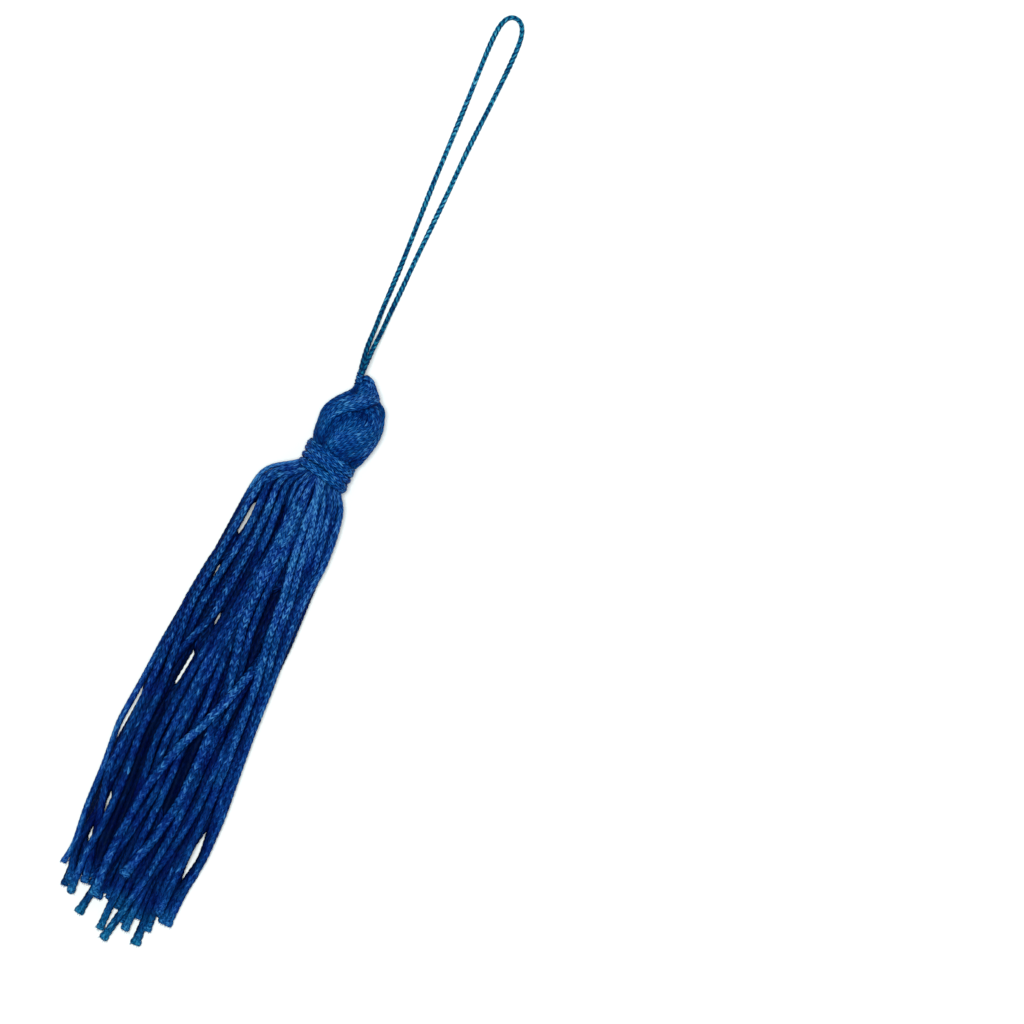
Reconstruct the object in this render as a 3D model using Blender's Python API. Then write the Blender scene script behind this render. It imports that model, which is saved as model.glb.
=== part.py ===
"""A yarn tassel with a hanging loop, lying on its side on a table.

It lies along Y on the plane z = 0. The loop runs towards +Y and the skirt's cut ends towards -Y.
The origin is under the middle of the tassel itself, without the loop. Chart values are in millimetres.
"""

import math
from collections import namedtuple

import bmesh
import bpy
import numpy as np

MM = 0.001

# Driving dimensions, in millimetres
TASSEL_LENGTH = 81.6  # from the top of the knot to the longest cut end
HEAD_WIDTH = 8.6
HEAD_HEIGHT = 8.0
NECK_WIDTH = 7.5
NECK_HEIGHT = 5.9
NECK_LENGTH = 3.5
NECK_TILT = math.radians(11.5)  # the binding sits lower on its +X side
CORD_TURN = 1.0  # thickness of the binding's cord
BINDING_TURNS = 3
LOOP_CORD = 0.7
GAP = 0.3  # clearance between two pieces that touch
FLAT_SPOT = 0.15  # how far the lying tassel is pressed flat where it meets the table

KNOT_TOP = TASSEL_LENGTH / 2
HEAD_AXIS = HEAD_HEIGHT / 2 - FLAT_SPOT  # height of the head's middle above the table
NECK_CENTRE = np.array([2.1, 27.4, 3.6])
NECK_RUN = np.array([0.04, 1.0, 0.0])  # the way the binding's tilted turns are stacked

UP = np.array([0.0, 0.0, 1.0])
SPAN_STEPS = 24  # straight steps in a curve between two of its points
SHARP_FOLD = math.radians(50)


def smooth_route(points, count, bunched=1.0):
    """Catmull-Rom curve through the points, read at places equally far apart along it.

    The first three columns are x, y and z. Any further column is carried along with them.
    Bunched over 1 draws the places towards the start.
    """
    points = np.asarray(points, float)
    padded = np.vstack([2 * points[0] - points[1], points, 2 * points[-1] - points[-2]])
    t = np.linspace(0, 1, SPAN_STEPS, endpoint=False)[:, None]
    spans = [
        0.5 * (2 * b + (c - a) * t + (2 * a - 5 * b + 4 * c - d) * t**2 + (3 * b - a - 3 * c + d) * t**3)
        for a, b, c, d in zip(padded, padded[1:], padded[2:], padded[3:])
    ]
    fine = np.vstack(spans + [points[-1:]])
    steps = np.linalg.norm(np.diff(fine[:, :3], axis=0), axis=1)
    along = np.concatenate([[0], np.cumsum(steps)])
    places = along[-1] * np.linspace(0, 1, count) ** bunched
    return np.column_stack([np.interp(places, along, column) for column in fine.T])


def material(name, hex_colour, roughness):
    """A Principled yarn finish from an sRGB hex colour."""
    srgb = np.array([int(hex_colour[i : i + 2], 16) for i in (0, 2, 4)]) / 255
    linear = np.where(srgb <= 0.04045, srgb / 12.92, ((srgb + 0.055) / 1.055) ** 2.4)
    finish = bpy.data.materials.new(name)
    finish.use_nodes = True
    shader = finish.node_tree.nodes["Principled BSDF"]
    shader.inputs["Base Color"].default_value = (*linear, 1.0)
    shader.inputs["Roughness"].default_value = roughness
    shader.inputs["Metallic"].default_value = 0.0
    return finish


def closed_mesh(name, points, faces, finish, collection=None):
    """An object for this closed skin, its points in millimetres and its faces turned outwards."""
    mesh = bpy.data.meshes.new(name)
    mesh.from_pydata((points.reshape(-1, 3) * MM).tolist(), [], faces)
    skin = bmesh.new()
    skin.from_mesh(mesh)
    bmesh.ops.recalc_face_normals(skin, faces=skin.faces)
    skin.to_mesh(mesh)
    skin.free()
    mesh.shade_smooth()
    mesh.set_sharp_from_angle(angle=SHARP_FOLD)
    mesh.materials.append(finish)
    obj = bpy.data.objects.new(name, mesh)
    (collection or bpy.context.scene.collection).objects.link(obj)
    return obj


def ringed(name, rings, finish, collection=None):
    """A closed skin with flat ends over rings, an array (ring, place in the ring, xyz) in millimetres."""
    count, sides = rings.shape[:2]
    here = np.arange(count * sides).reshape(count, sides)
    beside = np.roll(here, -1, axis=1)
    walls = np.stack([here[:-1], beside[:-1], beside[1:], here[1:]], axis=-1).reshape(-1, 4)
    faces = [*walls.tolist(), here[0, ::-1].tolist(), here[-1].tolist()]
    return closed_mesh(name, rings, faces, finish, collection)


def ellipses(centres, across, half_widths, half_heights, sides):
    """One ellipse per row: half a width along the unit vector across, and half a height along Z."""
    turn = np.linspace(0, 2 * math.pi, sides, endpoint=False)
    sideways = half_widths[:, None, None] * across[:, None, :] * np.cos(turn)[None, :, None]
    upwards = half_heights[:, None, None] * UP * np.sin(turn)[None, :, None]
    return centres[:, None, :] + sideways + upwards


def tilted_across(tilts):
    """Unit vectors in the table's plane, from +X turned clockwise by each tilt."""
    return np.column_stack([np.cos(tilts), -np.sin(tilts), np.zeros(len(tilts))])


# ---- Skirt: locks of strands laid over each other on a core, and the bound top that the binding holds

# Stations along the skirt, as y of the neck, bend, shoulder, upper, middle, lower and hem columns
STATIONS = (26.4, 24.6, 22.4, 16.0, 4.0, -12.0, -26.0)
Lock = namedtuple("Lock", "neck bend shoulder upper middle lower hem tip tip_y width lift")

# Height of a lock's middle, and its half thickness, at each station and at its tip
FRONT_HEIGHT = (4.7, 4.6, 4.3, 3.8, 3.3, 3.0, 2.7, 1.3)
FRONT_HALF = (1.2, 1.4, 1.5, 1.4, 1.3, 1.2, 1.1, 0.7)
BACK_HEIGHT = (2.6, 2.0, 1.5, 1.3, 1.2, 1.1, 1.0, 0.7)
BACK_HALF = (1.2, 1.5, 1.7, 1.6, 1.5, 1.4, 1.3, 0.8)

# Where each lock runs, as x at the stations; lift raises it above its layer
FRONT_LOCKS = (
    Lock(-1.2, -3.7, -4.9, -5.6, -6.8, -8.05, -7.8, -7.9, -33.8, 2.3, -1.0),
    Lock(-0.3, -1.9, -2.8, -3.4, -4.6, -6.6, -6.1, -5.9, -36.7, 2.1, -0.3),
    Lock(0.8, -0.2, -0.9, -1.7, -2.5, -3.5, -2.2, -2.3, -36.4, 2.1, 0.0),
    Lock(1.6, 1.3, 0.9, 0.4, -0.1, -0.7, -1.7, -3.6, -39.0, 1.5, 0.2),
    Lock(2.3, 2.3, 2.2, 1.4, 1.4, 2.5, 1.2, -0.4, -32.0, 2.0, 0.3),
    Lock(2.9, 3.0, 3.2, 3.6, 4.4, 0.6, -2.7, -3.0, -34.3, 1.5, 0.6),
    Lock(3.5, 4.0, 4.4, 5.1, 5.5, 5.1, 4.3, 2.9, -38.6, 2.1, 0.0),
    Lock(4.0, 4.7, 5.4, 6.3, 6.4, 7.2, 7.95, 7.2, -35.9, 2.3, -0.6),
)
BACK_LOCKS = (
    Lock(-1.0, -2.8, -4.0, -4.8, -5.6, -7.0, -6.6, -6.8, -36.5, 2.8, 0.0),
    Lock(0.0, -1.0, -1.7, -2.5, -3.5, -4.6, -4.3, -4.3, -34.8, 2.8, 0.0),
    Lock(1.2, 0.8, 0.4, -0.4, -1.4, -2.2, -1.2, -0.9, -36.9, 2.8, 0.0),
    Lock(2.2, 2.2, 2.2, 2.0, 0.9, 0.1, 0.4, 0.5, -KNOT_TOP, 2.8, 0.0),
    Lock(2.6, 2.8, 2.9, 2.7, 2.0, 1.5, 1.8, 1.7, -37.8, 2.8, 0.0),
    Lock(3.3, 3.6, 3.8, 4.0, 3.5, 3.0, 3.0, 4.6, -39.8, 2.8, 0.0),
    Lock(4.0, 4.4, 4.9, 5.9, 6.2, 6.4, 6.4, 5.6, -37.6, 2.8, 0.0),
)
LOCK_RINGS = 17
TOWARDS_NECK = 1.5  # the rings lie closer together where the locks bend out of the binding
LOCK_SIDES = 10
END_ROUNDING = (0.5, 0.85)  # share of a lock's full section on its last rings

# The core that the locks lie on: middle x, half width, middle height, half height, at each y
Core = namedtuple("Core", "y middle half_width height half_height")
CORE = (
    Core(24.9, 1.9, 2.6, 3.3, 1.5),
    Core(22.6, 0.3, 4.8, 2.6, 2.5),
    Core(16.0, 0.4, 6.0, 2.3, 2.0),
    Core(4.0, -0.2, 6.6, 2.0, 1.7),
    Core(-12.0, -0.6, 7.2, 1.7, 1.5),
    Core(-26.0, -0.3, 6.8, 1.5, 1.3),
    Core(-33.2, -0.4, 5.6, 1.1, 0.9),
)
CORE_RINGS = 14
CORE_SIDES = 16

BOUND_TOP_ROOT = 2.0  # how far the bound top reaches down into the locks
BOUND_TOP_SIDES = 20
CUTTER_REACH = 60.0  # well past the skirt on every side


def along_heading(route):
    """Unit vectors in the table's plane at right angles to the way the route runs."""
    heading = np.gradient(route[:, :2], axis=0)
    heading /= np.linalg.norm(heading, axis=1)[:, None]
    return np.column_stack([heading[:, 1], -heading[:, 0], np.zeros(len(route))])


def lock_mesh(name, lock, heights, halves, finish, collection):
    """A lock as a tube of flattened sections along its chart row, rounded at both ends."""
    xs = lock[: len(STATIONS) + 1]
    ys = (*STATIONS, lock.tip_y)
    widths = np.full(len(xs), lock.width / 2)
    chart = np.column_stack([xs, ys, np.add(heights, lock.lift), widths, halves])
    route = smooth_route(chart, LOCK_RINGS, TOWARDS_NECK)
    rounding = np.ones(LOCK_RINGS)
    rounding[: len(END_ROUNDING)] = END_ROUNDING
    rounding[-len(END_ROUNDING) :] = END_ROUNDING[::-1]
    rings = ellipses(
        route[:, :3], along_heading(route), route[:, 3] * rounding, route[:, 4] * rounding, LOCK_SIDES
    )
    return ringed(name, rings, finish, collection)


def box_mesh(name, low, high, finish):
    """A box between two opposite corners."""
    outline = np.array([(low[0], low[1]), (high[0], low[1]), (high[0], high[1]), (low[0], high[1])])
    rings = np.stack([np.column_stack([outline, np.full(4, height)]) for height in (low[2], high[2])])
    return ringed(name, rings, finish)


def hide_helper(obj):
    obj.hide_render = True
    obj.display_type = "WIRE"


def boolean(target, operation, helper):
    """Joins the helper to the target or cuts it away.

    The exact solver loses the cut at the neck, so this is the manifold one.
    """
    modifier = target.modifiers.new(f"{operation.lower()} {helper.name}", "BOOLEAN")
    modifier.operation = operation
    modifier.solver = "MANIFOLD"
    if isinstance(helper, bpy.types.Collection):
        modifier.operand_type = "COLLECTION"
        modifier.collection = helper
    else:
        modifier.object = helper
        hide_helper(helper)


def make_skirt(finish):
    locks = bpy.data.collections.new("skirt locks")
    bpy.context.scene.collection.children.link(locks)
    layers = (("front", FRONT_LOCKS, FRONT_HEIGHT, FRONT_HALF), ("back", BACK_LOCKS, BACK_HEIGHT, BACK_HALF))
    for layer, rows, heights, halves in layers:
        for number, lock in enumerate(rows, start=1):
            hide_helper(lock_mesh(f"{layer} lock {number}", lock, heights, halves, finish, locks))

    rows = [(row.middle, row.y, row.height, row.half_width, row.half_height) for row in CORE]
    core = smooth_route(rows, CORE_RINGS)
    across = tilted_across(np.zeros(CORE_RINGS))
    skirt = ringed("skirt", ellipses(core[:, :3], across, core[:, 3], core[:, 4], CORE_SIDES), finish)

    # Everything above the binding's lower edge is cut off square to the neck ...
    below_binding = NECK_CENTRE - NECK_RUN * (NECK_LENGTH / 2 + GAP)
    far = CUTTER_REACH
    top = box_mesh("neck cutter", (-far, 0, -far), (far, far, far), finish)
    top.location = below_binding * MM
    top.rotation_euler.z = -NECK_TILT

    # ... and the bound top runs up through the binding to its upper edge
    ends = np.array([-NECK_LENGTH / 2 - BOUND_TOP_ROOT, NECK_LENGTH / 2])
    centres = NECK_CENTRE + NECK_RUN * ends[:, None]
    half_widths = np.full(2, NECK_WIDTH / 2 - CORD_TURN - GAP)
    half_heights = np.full(2, NECK_HEIGHT / 2 - CORD_TURN - GAP)
    tilted = tilted_across(np.full(2, NECK_TILT))
    rings = ellipses(centres, tilted, half_widths, half_heights, BOUND_TOP_SIDES)
    bound_top = ringed("bound top", rings, finish)
    table = box_mesh("table cutter", (-far, -far, -far), (far, far, 0), finish)

    boolean(skirt, "UNION", locks)
    boolean(skirt, "DIFFERENCE", top)
    boolean(skirt, "UNION", bound_top)
    boolean(skirt, "DIFFERENCE", table)
    return skirt


# ---- Neck binding: a ring of cord turns

RIB_STEPS = 4
RIB_FLOOR = 0.62  # thickness between two ribs as a share of the cord's
BINDING_SIDES = 28


def make_neck_binding(finish):
    """A flat-walled ring with one rounded rib for each turn of cord, carried round an ellipse."""
    along = np.linspace(-0.5, 0.5, BINDING_TURNS * RIB_STEPS + 1)
    rib = np.abs(np.sin((along + 0.5) * math.pi * BINDING_TURNS))
    out = CORD_TURN * (RIB_FLOOR + (1 - RIB_FLOOR) * np.sqrt(rib))
    inside = np.array([[0.5, 0.0], [-0.5, 0.0]])
    profile = np.vstack([np.column_stack([along, out]), inside]) * (NECK_LENGTH, 1)
    turn = np.linspace(0, 2 * math.pi, BINDING_SIDES, endpoint=False)
    across = tilted_across(np.array([NECK_TILT]))[0]
    inner = np.array([NECK_WIDTH, NECK_HEIGHT]) / 2 - CORD_TURN
    reach = inner[None, :] + profile[:, 1][:, None]
    points = (
        NECK_CENTRE
        + profile[:, 0][None, :, None] * NECK_RUN
        + (reach[:, 0] * np.cos(turn)[:, None])[..., None] * across
        + (reach[:, 1] * np.sin(turn)[:, None])[..., None] * UP
    )
    rounds, steps = points.shape[:2]
    here = np.arange(rounds * steps).reshape(rounds, steps)
    ahead = np.roll(here, -1, axis=0)
    quads = np.stack([here, ahead, np.roll(ahead, -1, axis=1), np.roll(here, -1, axis=1)], axis=-1)
    return closed_mesh("neck_binding", points, quads.reshape(-1, 4).tolist(), finish)


# ---- Head: the wound ball

Section = namedtuple("Section", "y middle half_width tilt")
HEAD_SECTIONS = (
    Section(29.5, 2.25, 3.5, 11.5),
    Section(30.6, 2.4, 3.9, 9.0),
    Section(32.0, 2.6, 4.2, 6.0),
    Section(33.3, 2.7, HEAD_WIDTH / 2, 3.0),
    Section(34.6, 2.8, 4.15, 0.0),
    Section(35.9, 2.95, 3.65, 0.0),
    Section(37.0, 3.05, 2.85, 0.0),
    Section(37.9, 3.0, 2.0, 0.0),
    Section(38.4, 2.9, 1.1, 0.0),
)
HEAD_RINGS = 22
HEAD_SIDES = 32
HEAD_DEPTH = HEAD_HEIGHT / HEAD_WIDTH  # height of the ball as a share of its width

# The broad wrap that crosses the head from the knot to the neck's left side, and the hollow under it
WRAP_ROUTE = ((4.3, 38.6), (2.7, 37.2), (1.2, 35.6), (0.0, 33.8), (-0.5, 32.0), (-0.4, 29.8))
WRAP_POINTS = 40
WRAP_HALF_WIDTH = 1.2
WRAP_RISE = 0.3
DIMPLE = (3.2, 35.5)
DIMPLE_RADIUS = 1.2
DIMPLE_DEPTH = 0.6


def bell(distance, radius):
    """A smooth bump: 1 in the middle and 0 from the radius outwards."""
    return np.cos(np.clip(distance / radius, 0, 1) * math.pi) / 2 + 0.5


def make_head(finish):
    rows = [
        (row.middle, row.y, HEAD_AXIS, row.half_width, row.half_width * HEAD_DEPTH, math.radians(row.tilt))
        for row in HEAD_SECTIONS
    ]
    rows = smooth_route(rows, HEAD_RINGS)
    rings = ellipses(rows[:, :3], tilted_across(rows[:, 5]), rows[:, 3], rows[:, 4], HEAD_SIDES)
    outwards = rings - rows[:, None, :3]
    outwards /= np.linalg.norm(outwards, axis=2)[..., None]
    wrap = smooth_route(np.column_stack([WRAP_ROUTE, np.zeros(len(WRAP_ROUTE))]), WRAP_POINTS)[:, :2]
    to_wrap = np.linalg.norm(rings[:, :, None, :2] - wrap, axis=3).min(axis=2)
    to_dimple = np.linalg.norm(rings[:, :, :2] - DIMPLE, axis=2)
    lift = WRAP_RISE * bell(to_wrap, WRAP_HALF_WIDTH) - DIMPLE_DEPTH * bell(to_dimple, DIMPLE_RADIUS)
    on_top = np.clip(outwards[:, :, 2], 0, 1)
    rings += (lift * on_top)[..., None] * outwards
    rings[:, :, 2] = np.maximum(rings[:, :, 2], 0)
    return ringed("head", rings, finish)


# ---- Knot: three short turns of cord between the loop and the head

KNOT_CENTRE = (2.2, KNOT_TOP - 1.1, HEAD_AXIS)
KNOT_HALF = (1.35, 1.1, 1.25)  # along X, Y and Z
KNOT_TURNS = 3
KNOT_RIB = 0.12
KNOT_RIB_STEPS = 4
KNOT_SIDES = 16
KNOT_FLAT_END = 0.97  # the barrel stops flat at this share of its half length


def make_top_knot(finish):
    """A short barrel whose radius swells once for each turn of cord."""
    along = np.linspace(-1, 1, KNOT_RIB_STEPS * KNOT_TURNS + 1) * KNOT_FLAT_END
    barrel = (1 - np.abs(along) ** 3) ** (1 / 3)
    ribs = 1 - KNOT_RIB * np.cos(along * math.pi * KNOT_TURNS) ** 2
    centres = np.add(KNOT_CENTRE, np.outer(along, (0, KNOT_HALF[1], 0)))
    across = tilted_across(np.zeros(len(along)))
    swell = barrel * ribs
    rings = ellipses(centres, across, KNOT_HALF[0] * swell, KNOT_HALF[2] * swell, KNOT_SIDES)
    return ringed("top_knot", rings, finish)


# ---- Hanging loop: a free cord from the knot, down to the table, round its far end and back

LAID = LOOP_CORD / 2 + 0.02  # height of the cord's middle where it lies on the table
LOOP_ROUTE = (
    (0.62, 41.1, 3.85),
    (0.50, 43.7, 3.1),
    (0.42, 46.3, 1.9),
    (0.31, 48.9, 0.9),
    (0.22, 52.8, LAID),
    (0.09, 56.7, LAID),
    (-0.36, 65.8, LAID),
    (-0.56, 72.3, LAID),
    (-0.78, 78.8, LAID),
    (-1.05, 85.3, LAID),
    (-0.95, 88.6, LAID),
    (-0.40, 90.2, LAID),
    (0.55, 90.7, LAID),
    (1.60, 90.2, LAID),
    (2.25, 88.6, LAID),
    (2.40, 85.3, LAID),
    (2.20, 78.8, LAID),
    (1.90, 72.3, LAID),
    (1.82, 65.8, LAID),
    (1.57, 56.7, LAID),
    (1.51, 52.8, LAID),
    (1.42, 48.9, 0.9),
    (1.44, 46.3, 1.9),
    (1.50, 43.7, 3.1),
    (1.62, 41.1, 3.85),
)
LOOP_POINTS = 66


def make_hanging_loop(finish):
    curve = bpy.data.curves.new("hanging_loop", "CURVE")
    curve.dimensions = "3D"
    curve.bevel_depth = LOOP_CORD / 2 * MM
    curve.bevel_resolution = 2  # an eight-sided tube
    curve.use_fill_caps = True
    route = smooth_route(LOOP_ROUTE, LOOP_POINTS)
    route[:, 2] = np.maximum(route[:, 2], LAID)
    spline = curve.splines.new("POLY")
    spline.points.add(LOOP_POINTS - 1)
    spline.points.foreach_set("co", np.column_stack([route * MM, np.ones(LOOP_POINTS)]).ravel())
    curve.materials.append(finish)
    loop = bpy.data.objects.new("hanging_loop", curve)
    bpy.context.scene.collection.objects.link(loop)
    return loop


def main():
    for obj in list(bpy.data.objects):
        bpy.data.objects.remove(obj)
    make_skirt(material("skirt cord, knitted", "173a78", 0.55))
    make_neck_binding(material("binding cord", "1a4384", 0.55))
    make_head(material("head cord, wound", "1b4586", 0.55))
    make_top_knot(material("knot cord", "1c4a86", 0.55))
    make_hanging_loop(material("loop cord, twisted", "1b4f82", 0.5))


main()
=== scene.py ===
# %% [markdown]
# # A tassel of knitted cord, lying flat
#
# The real tassel is made from one soft, silky cord. It is knitted as a tiny tube, so each cord shows columns
# of small V-shaped stitches. More than fifty lengths of it hang as the skirt. The same cord is wound into
# the round head and round the neck, and a finer one makes the hanging loop.
#
# In Blender such a thing could be a smooth form with a knit bump, or hair curves. Here every cord is a real
# mesh with real stitches, because light and shade between the cords is what makes a tassel look like one.

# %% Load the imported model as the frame
import math
from collections import namedtuple

import bpy
import numpy as np
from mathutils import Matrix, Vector


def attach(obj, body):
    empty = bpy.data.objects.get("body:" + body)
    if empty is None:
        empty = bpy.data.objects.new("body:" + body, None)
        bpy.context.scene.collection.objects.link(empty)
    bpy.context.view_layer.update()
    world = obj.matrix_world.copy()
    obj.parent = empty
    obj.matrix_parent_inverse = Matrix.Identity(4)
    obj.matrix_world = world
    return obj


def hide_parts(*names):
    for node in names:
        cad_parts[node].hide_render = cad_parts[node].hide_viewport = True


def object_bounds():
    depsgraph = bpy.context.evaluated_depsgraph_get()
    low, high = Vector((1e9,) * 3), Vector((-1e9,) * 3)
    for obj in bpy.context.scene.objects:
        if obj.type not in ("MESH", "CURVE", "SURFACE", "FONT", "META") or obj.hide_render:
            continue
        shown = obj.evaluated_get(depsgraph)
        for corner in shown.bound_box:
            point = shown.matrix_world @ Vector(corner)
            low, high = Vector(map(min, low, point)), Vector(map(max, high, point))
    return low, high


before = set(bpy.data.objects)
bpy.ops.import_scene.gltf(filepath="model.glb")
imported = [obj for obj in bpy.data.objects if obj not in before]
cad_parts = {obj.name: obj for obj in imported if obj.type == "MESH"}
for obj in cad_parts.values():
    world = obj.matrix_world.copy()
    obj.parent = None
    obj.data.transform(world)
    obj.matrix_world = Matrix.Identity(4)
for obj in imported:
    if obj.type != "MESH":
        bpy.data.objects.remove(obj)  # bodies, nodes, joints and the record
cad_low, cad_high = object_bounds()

MM = 0.001  # the charts below are in millimetres, and Blender's unit is the metre
CAD_SIZE = [round(side / MM, 1) for side in cad_high - cad_low]
print("CAD box, mm:", CAD_SIZE)

# %% [markdown]
# ## The camera
#
# The tassel lies on a table and is seen from straight above, so there is almost no perspective. A long lens
# far away gives that. The tassel leans in the picture, and turning the camera about its own line of sight
# leans it without moving the tassel.

# %% Camera
SENSOR = 36.0  # mm
LENS = 250.0  # mm
FIELD = 133.1  # mm of table across the picture
LOOK_AT = (26.5, 31.8, 3.0)  # mm, the middle of the picture
LEAN = math.radians(24.2)
CLIP = (0.01, 20.0)  # metres

camera_data = bpy.data.cameras.new("camera")
camera_data.sensor_width = SENSOR
camera_data.lens = LENS
camera_data.clip_start, camera_data.clip_end = CLIP
camera = bpy.data.objects.new("camera", camera_data)
camera_height = FIELD * LENS / SENSOR
camera.location = (LOOK_AT[0] * MM, LOOK_AT[1] * MM, (LOOK_AT[2] + camera_height) * MM)
camera.rotation_euler = (0.0, 0.0, LEAN)
bpy.context.scene.collection.objects.link(camera)
bpy.context.scene.camera = camera
print(f"camera {camera_height:.0f} mm above the table")

# %% [markdown]
# ## Curves that a cord can follow
#
# A cord never turns a sharp corner. Its route is given by a few points, and a Catmull-Rom curve passes
# through all of them without a kink. The curve is then read at equal steps along its length.

# %% A smooth route through points
UP = np.array([0.0, 0.0, 1.0])
SPAN_STEPS = 24  # straight steps in a curve between two of its points


def lengths_along(route):
    """Distance from the start of a route to each of its points."""
    return np.concatenate([[0.0], np.cumsum(np.linalg.norm(np.diff(route[:, :3], axis=0), axis=1))])


def smooth_route(points, count):
    """Catmull-Rom curve through the points, read at count places equally far apart along it."""
    points = np.asarray(points, float)
    padded = np.vstack([2 * points[0] - points[1], points, 2 * points[-1] - points[-2]])
    t = np.linspace(0, 1, SPAN_STEPS, endpoint=False)[:, None]
    spans = [
        0.5 * (2 * b + (c - a) * t + (2 * a - 5 * b + 4 * c - d) * t**2 + (3 * b - a - 3 * c + d) * t**3)
        for a, b, c, d in zip(padded, padded[1:], padded[2:], padded[3:])
    ]
    fine = np.vstack(spans + [points[-1:]])
    along = lengths_along(fine)
    places = np.linspace(0, along[-1], count)
    return np.column_stack([np.interp(places, along, column) for column in fine.T])


def unit(vectors):
    """The vectors, each at length 1."""
    return vectors / np.linalg.norm(vectors, axis=-1, keepdims=True)


def soften(values, reach):
    """Running average with a bell-shaped weight whose half width is reach values."""
    offsets = np.arange(-3 * reach, 3 * reach + 1)
    weights = np.exp(-0.5 * (offsets / reach) ** 2)
    padded = np.pad(values, 3 * reach, mode="reflect", reflect_type="odd")
    return np.convolve(padded, weights / weights.sum(), mode="valid")


def uneven(rng, count, spread, reach):
    """What a hand leaves uneven: count random values of that spread, softened over reach of them."""
    return soften(rng.normal(0, spread, count), reach)


def spread_along(values, places, length):
    """One value, or a row of them spread evenly over a length, read at these places."""
    values = np.atleast_1d(values)
    return np.interp(places, np.linspace(0, length, len(values)), values)


def ease(t):
    """0 before 0, 1 after 1, and a smooth S between."""
    t = np.clip(t, 0, 1)
    return t * t * (3 - 2 * t)


bent = smooth_route([(0, 0, 0), (4, 3, 0), (8, 0, 0)], 50)
print(f"a trial route through three points is {lengths_along(bent)[-1]:.2f} mm long")

# %% [markdown]
# ## One knitted cord
#
# The cord is a narrow knitted tube with five columns of stitches round it. Each stitch is a V of two
# slanting legs, and each leg is a soft bundle of filaments. A plain tube with a bump map would keep a
# straight outline, so the stitches are in the mesh.
#
# The trick is a grid that slants with the legs. Its rings zigzag round the cord, up one leg and down the
# next, so that the creases between stitches fall exactly on grid lines and stay crisp with few faces.

# %% Skins: points and faces of closed shapes
Skin = namedtuple("Skin", "points quads triangles quad_uvs triangle_uvs crown tone")


def closed_tube(rings, u, v, crown, tone):
    """Skin over rings of points, an array (ring, side, xyz), with a pole that closes each end.

    u has one value more than a ring has sides, so that the pattern also closes. Going round a ring turns
    with the right hand about the way along, so the faces look outwards.
    """
    count, sides = rings.shape[:2]
    here = np.arange(count * sides).reshape(count, sides)
    beside = np.roll(here, -1, axis=1)
    quads = np.stack([here[:-1], beside[:-1], beside[1:], here[1:]], axis=-1).reshape(-1, 4)
    first_pole = np.full(sides, count * sides)
    triangles = np.vstack(
        [
            np.column_stack([first_pole, beside[0], here[0]]),
            np.column_stack([first_pole + 1, here[-1], beside[-1]]),
        ]
    )
    corner_u = np.stack([u[:-1], u[1:], u[1:], u[:-1]], axis=-1)
    corner_v = np.stack([v[:-1], v[:-1], v[1:], v[1:]], axis=-1)
    quad_uvs = np.stack(np.broadcast_arrays(corner_u[None, :, :], corner_v[:, None, :]), axis=-1)
    ends = [np.column_stack([u[:-1], u[1:], u[:-1]]), np.column_stack([u[:-1], u[:-1], u[1:]])]
    end_v = [np.full((sides, 3), v[0]), np.full((sides, 3), v[-1])]
    triangle_uvs = np.stack([np.vstack(ends), np.vstack(end_v)], axis=-1)
    points = np.vstack([rings.reshape(-1, 3), rings[0].mean(axis=0), rings[-1].mean(axis=0)])
    pole_values = [values.mean(axis=1)[[0, -1]] for values in (crown, tone)]
    crown = np.concatenate([crown.ravel(), pole_values[0]])
    tone = np.concatenate([tone.ravel(), pole_values[1]])
    return Skin(points, quads, triangles, quad_uvs.reshape(-1, 2), triangle_uvs.reshape(-1, 2), crown, tone)


def mesh_object(name, skins, finish):
    """One object that holds all the skins, at the origin, with their UV map and their two attributes."""
    firsts = np.cumsum([0] + [len(skin.points) for skin in skins[:-1]])
    quads = np.vstack([skin.quads + first for skin, first in zip(skins, firsts)])
    triangles = np.vstack([skin.triangles + first for skin, first in zip(skins, firsts)])
    corners = np.concatenate([quads.ravel(), triangles.ravel()])
    starts = np.concatenate([np.arange(len(quads)) * 4, quads.size + np.arange(len(triangles)) * 3])
    points = np.vstack([skin.points for skin in skins]) * MM
    uvs = np.vstack([skin.quad_uvs for skin in skins] + [skin.triangle_uvs for skin in skins])

    mesh = bpy.data.meshes.new(name)
    mesh.vertices.add(len(points))
    mesh.vertices.foreach_set("co", points.ravel())
    mesh.loops.add(len(corners))
    mesh.loops.foreach_set("vertex_index", corners)
    mesh.polygons.add(len(starts))
    mesh.polygons.foreach_set("loop_start", starts)
    mesh.update(calc_edges=True)
    mesh.uv_layers.new(name="UVMap").data.foreach_set("uv", uvs.ravel())
    for key in ("crown", "tone"):
        values = np.concatenate([getattr(skin, key) for skin in skins])
        mesh.attributes.new(key, "FLOAT", "POINT").data.foreach_set("value", values)
    mesh.shade_smooth()
    mesh.materials.append(finish)
    obj = bpy.data.objects.new(name, mesh)
    bpy.context.scene.collection.objects.link(obj)
    print(f"{name}: {2 * len(quads) + len(triangles)} triangles")
    return obj


# %% Points carried along a route
def carried(route, facing, places, angles, radii):
    """Points round a route: at each place along it, a radius out from it at an angle from its facing side.

    point = route(place) + radius * (cos(angle) * up + sin(angle) * side), where up is the facing direction
    made square to the route, and side is square to both.
    """
    heading = unit(np.gradient(route, axis=0))
    side = unit(np.cross(heading, facing))
    up = np.cross(side, heading)
    along = lengths_along(route)

    def read(rows):
        return np.stack([np.interp(places, along, column) for column in rows.T], axis=-1)

    upwards = (radii * np.cos(angles))[..., None] * read(up)
    sideways = (radii * np.sin(angles))[..., None] * read(side)
    return read(route) + upwards + sideways


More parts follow.
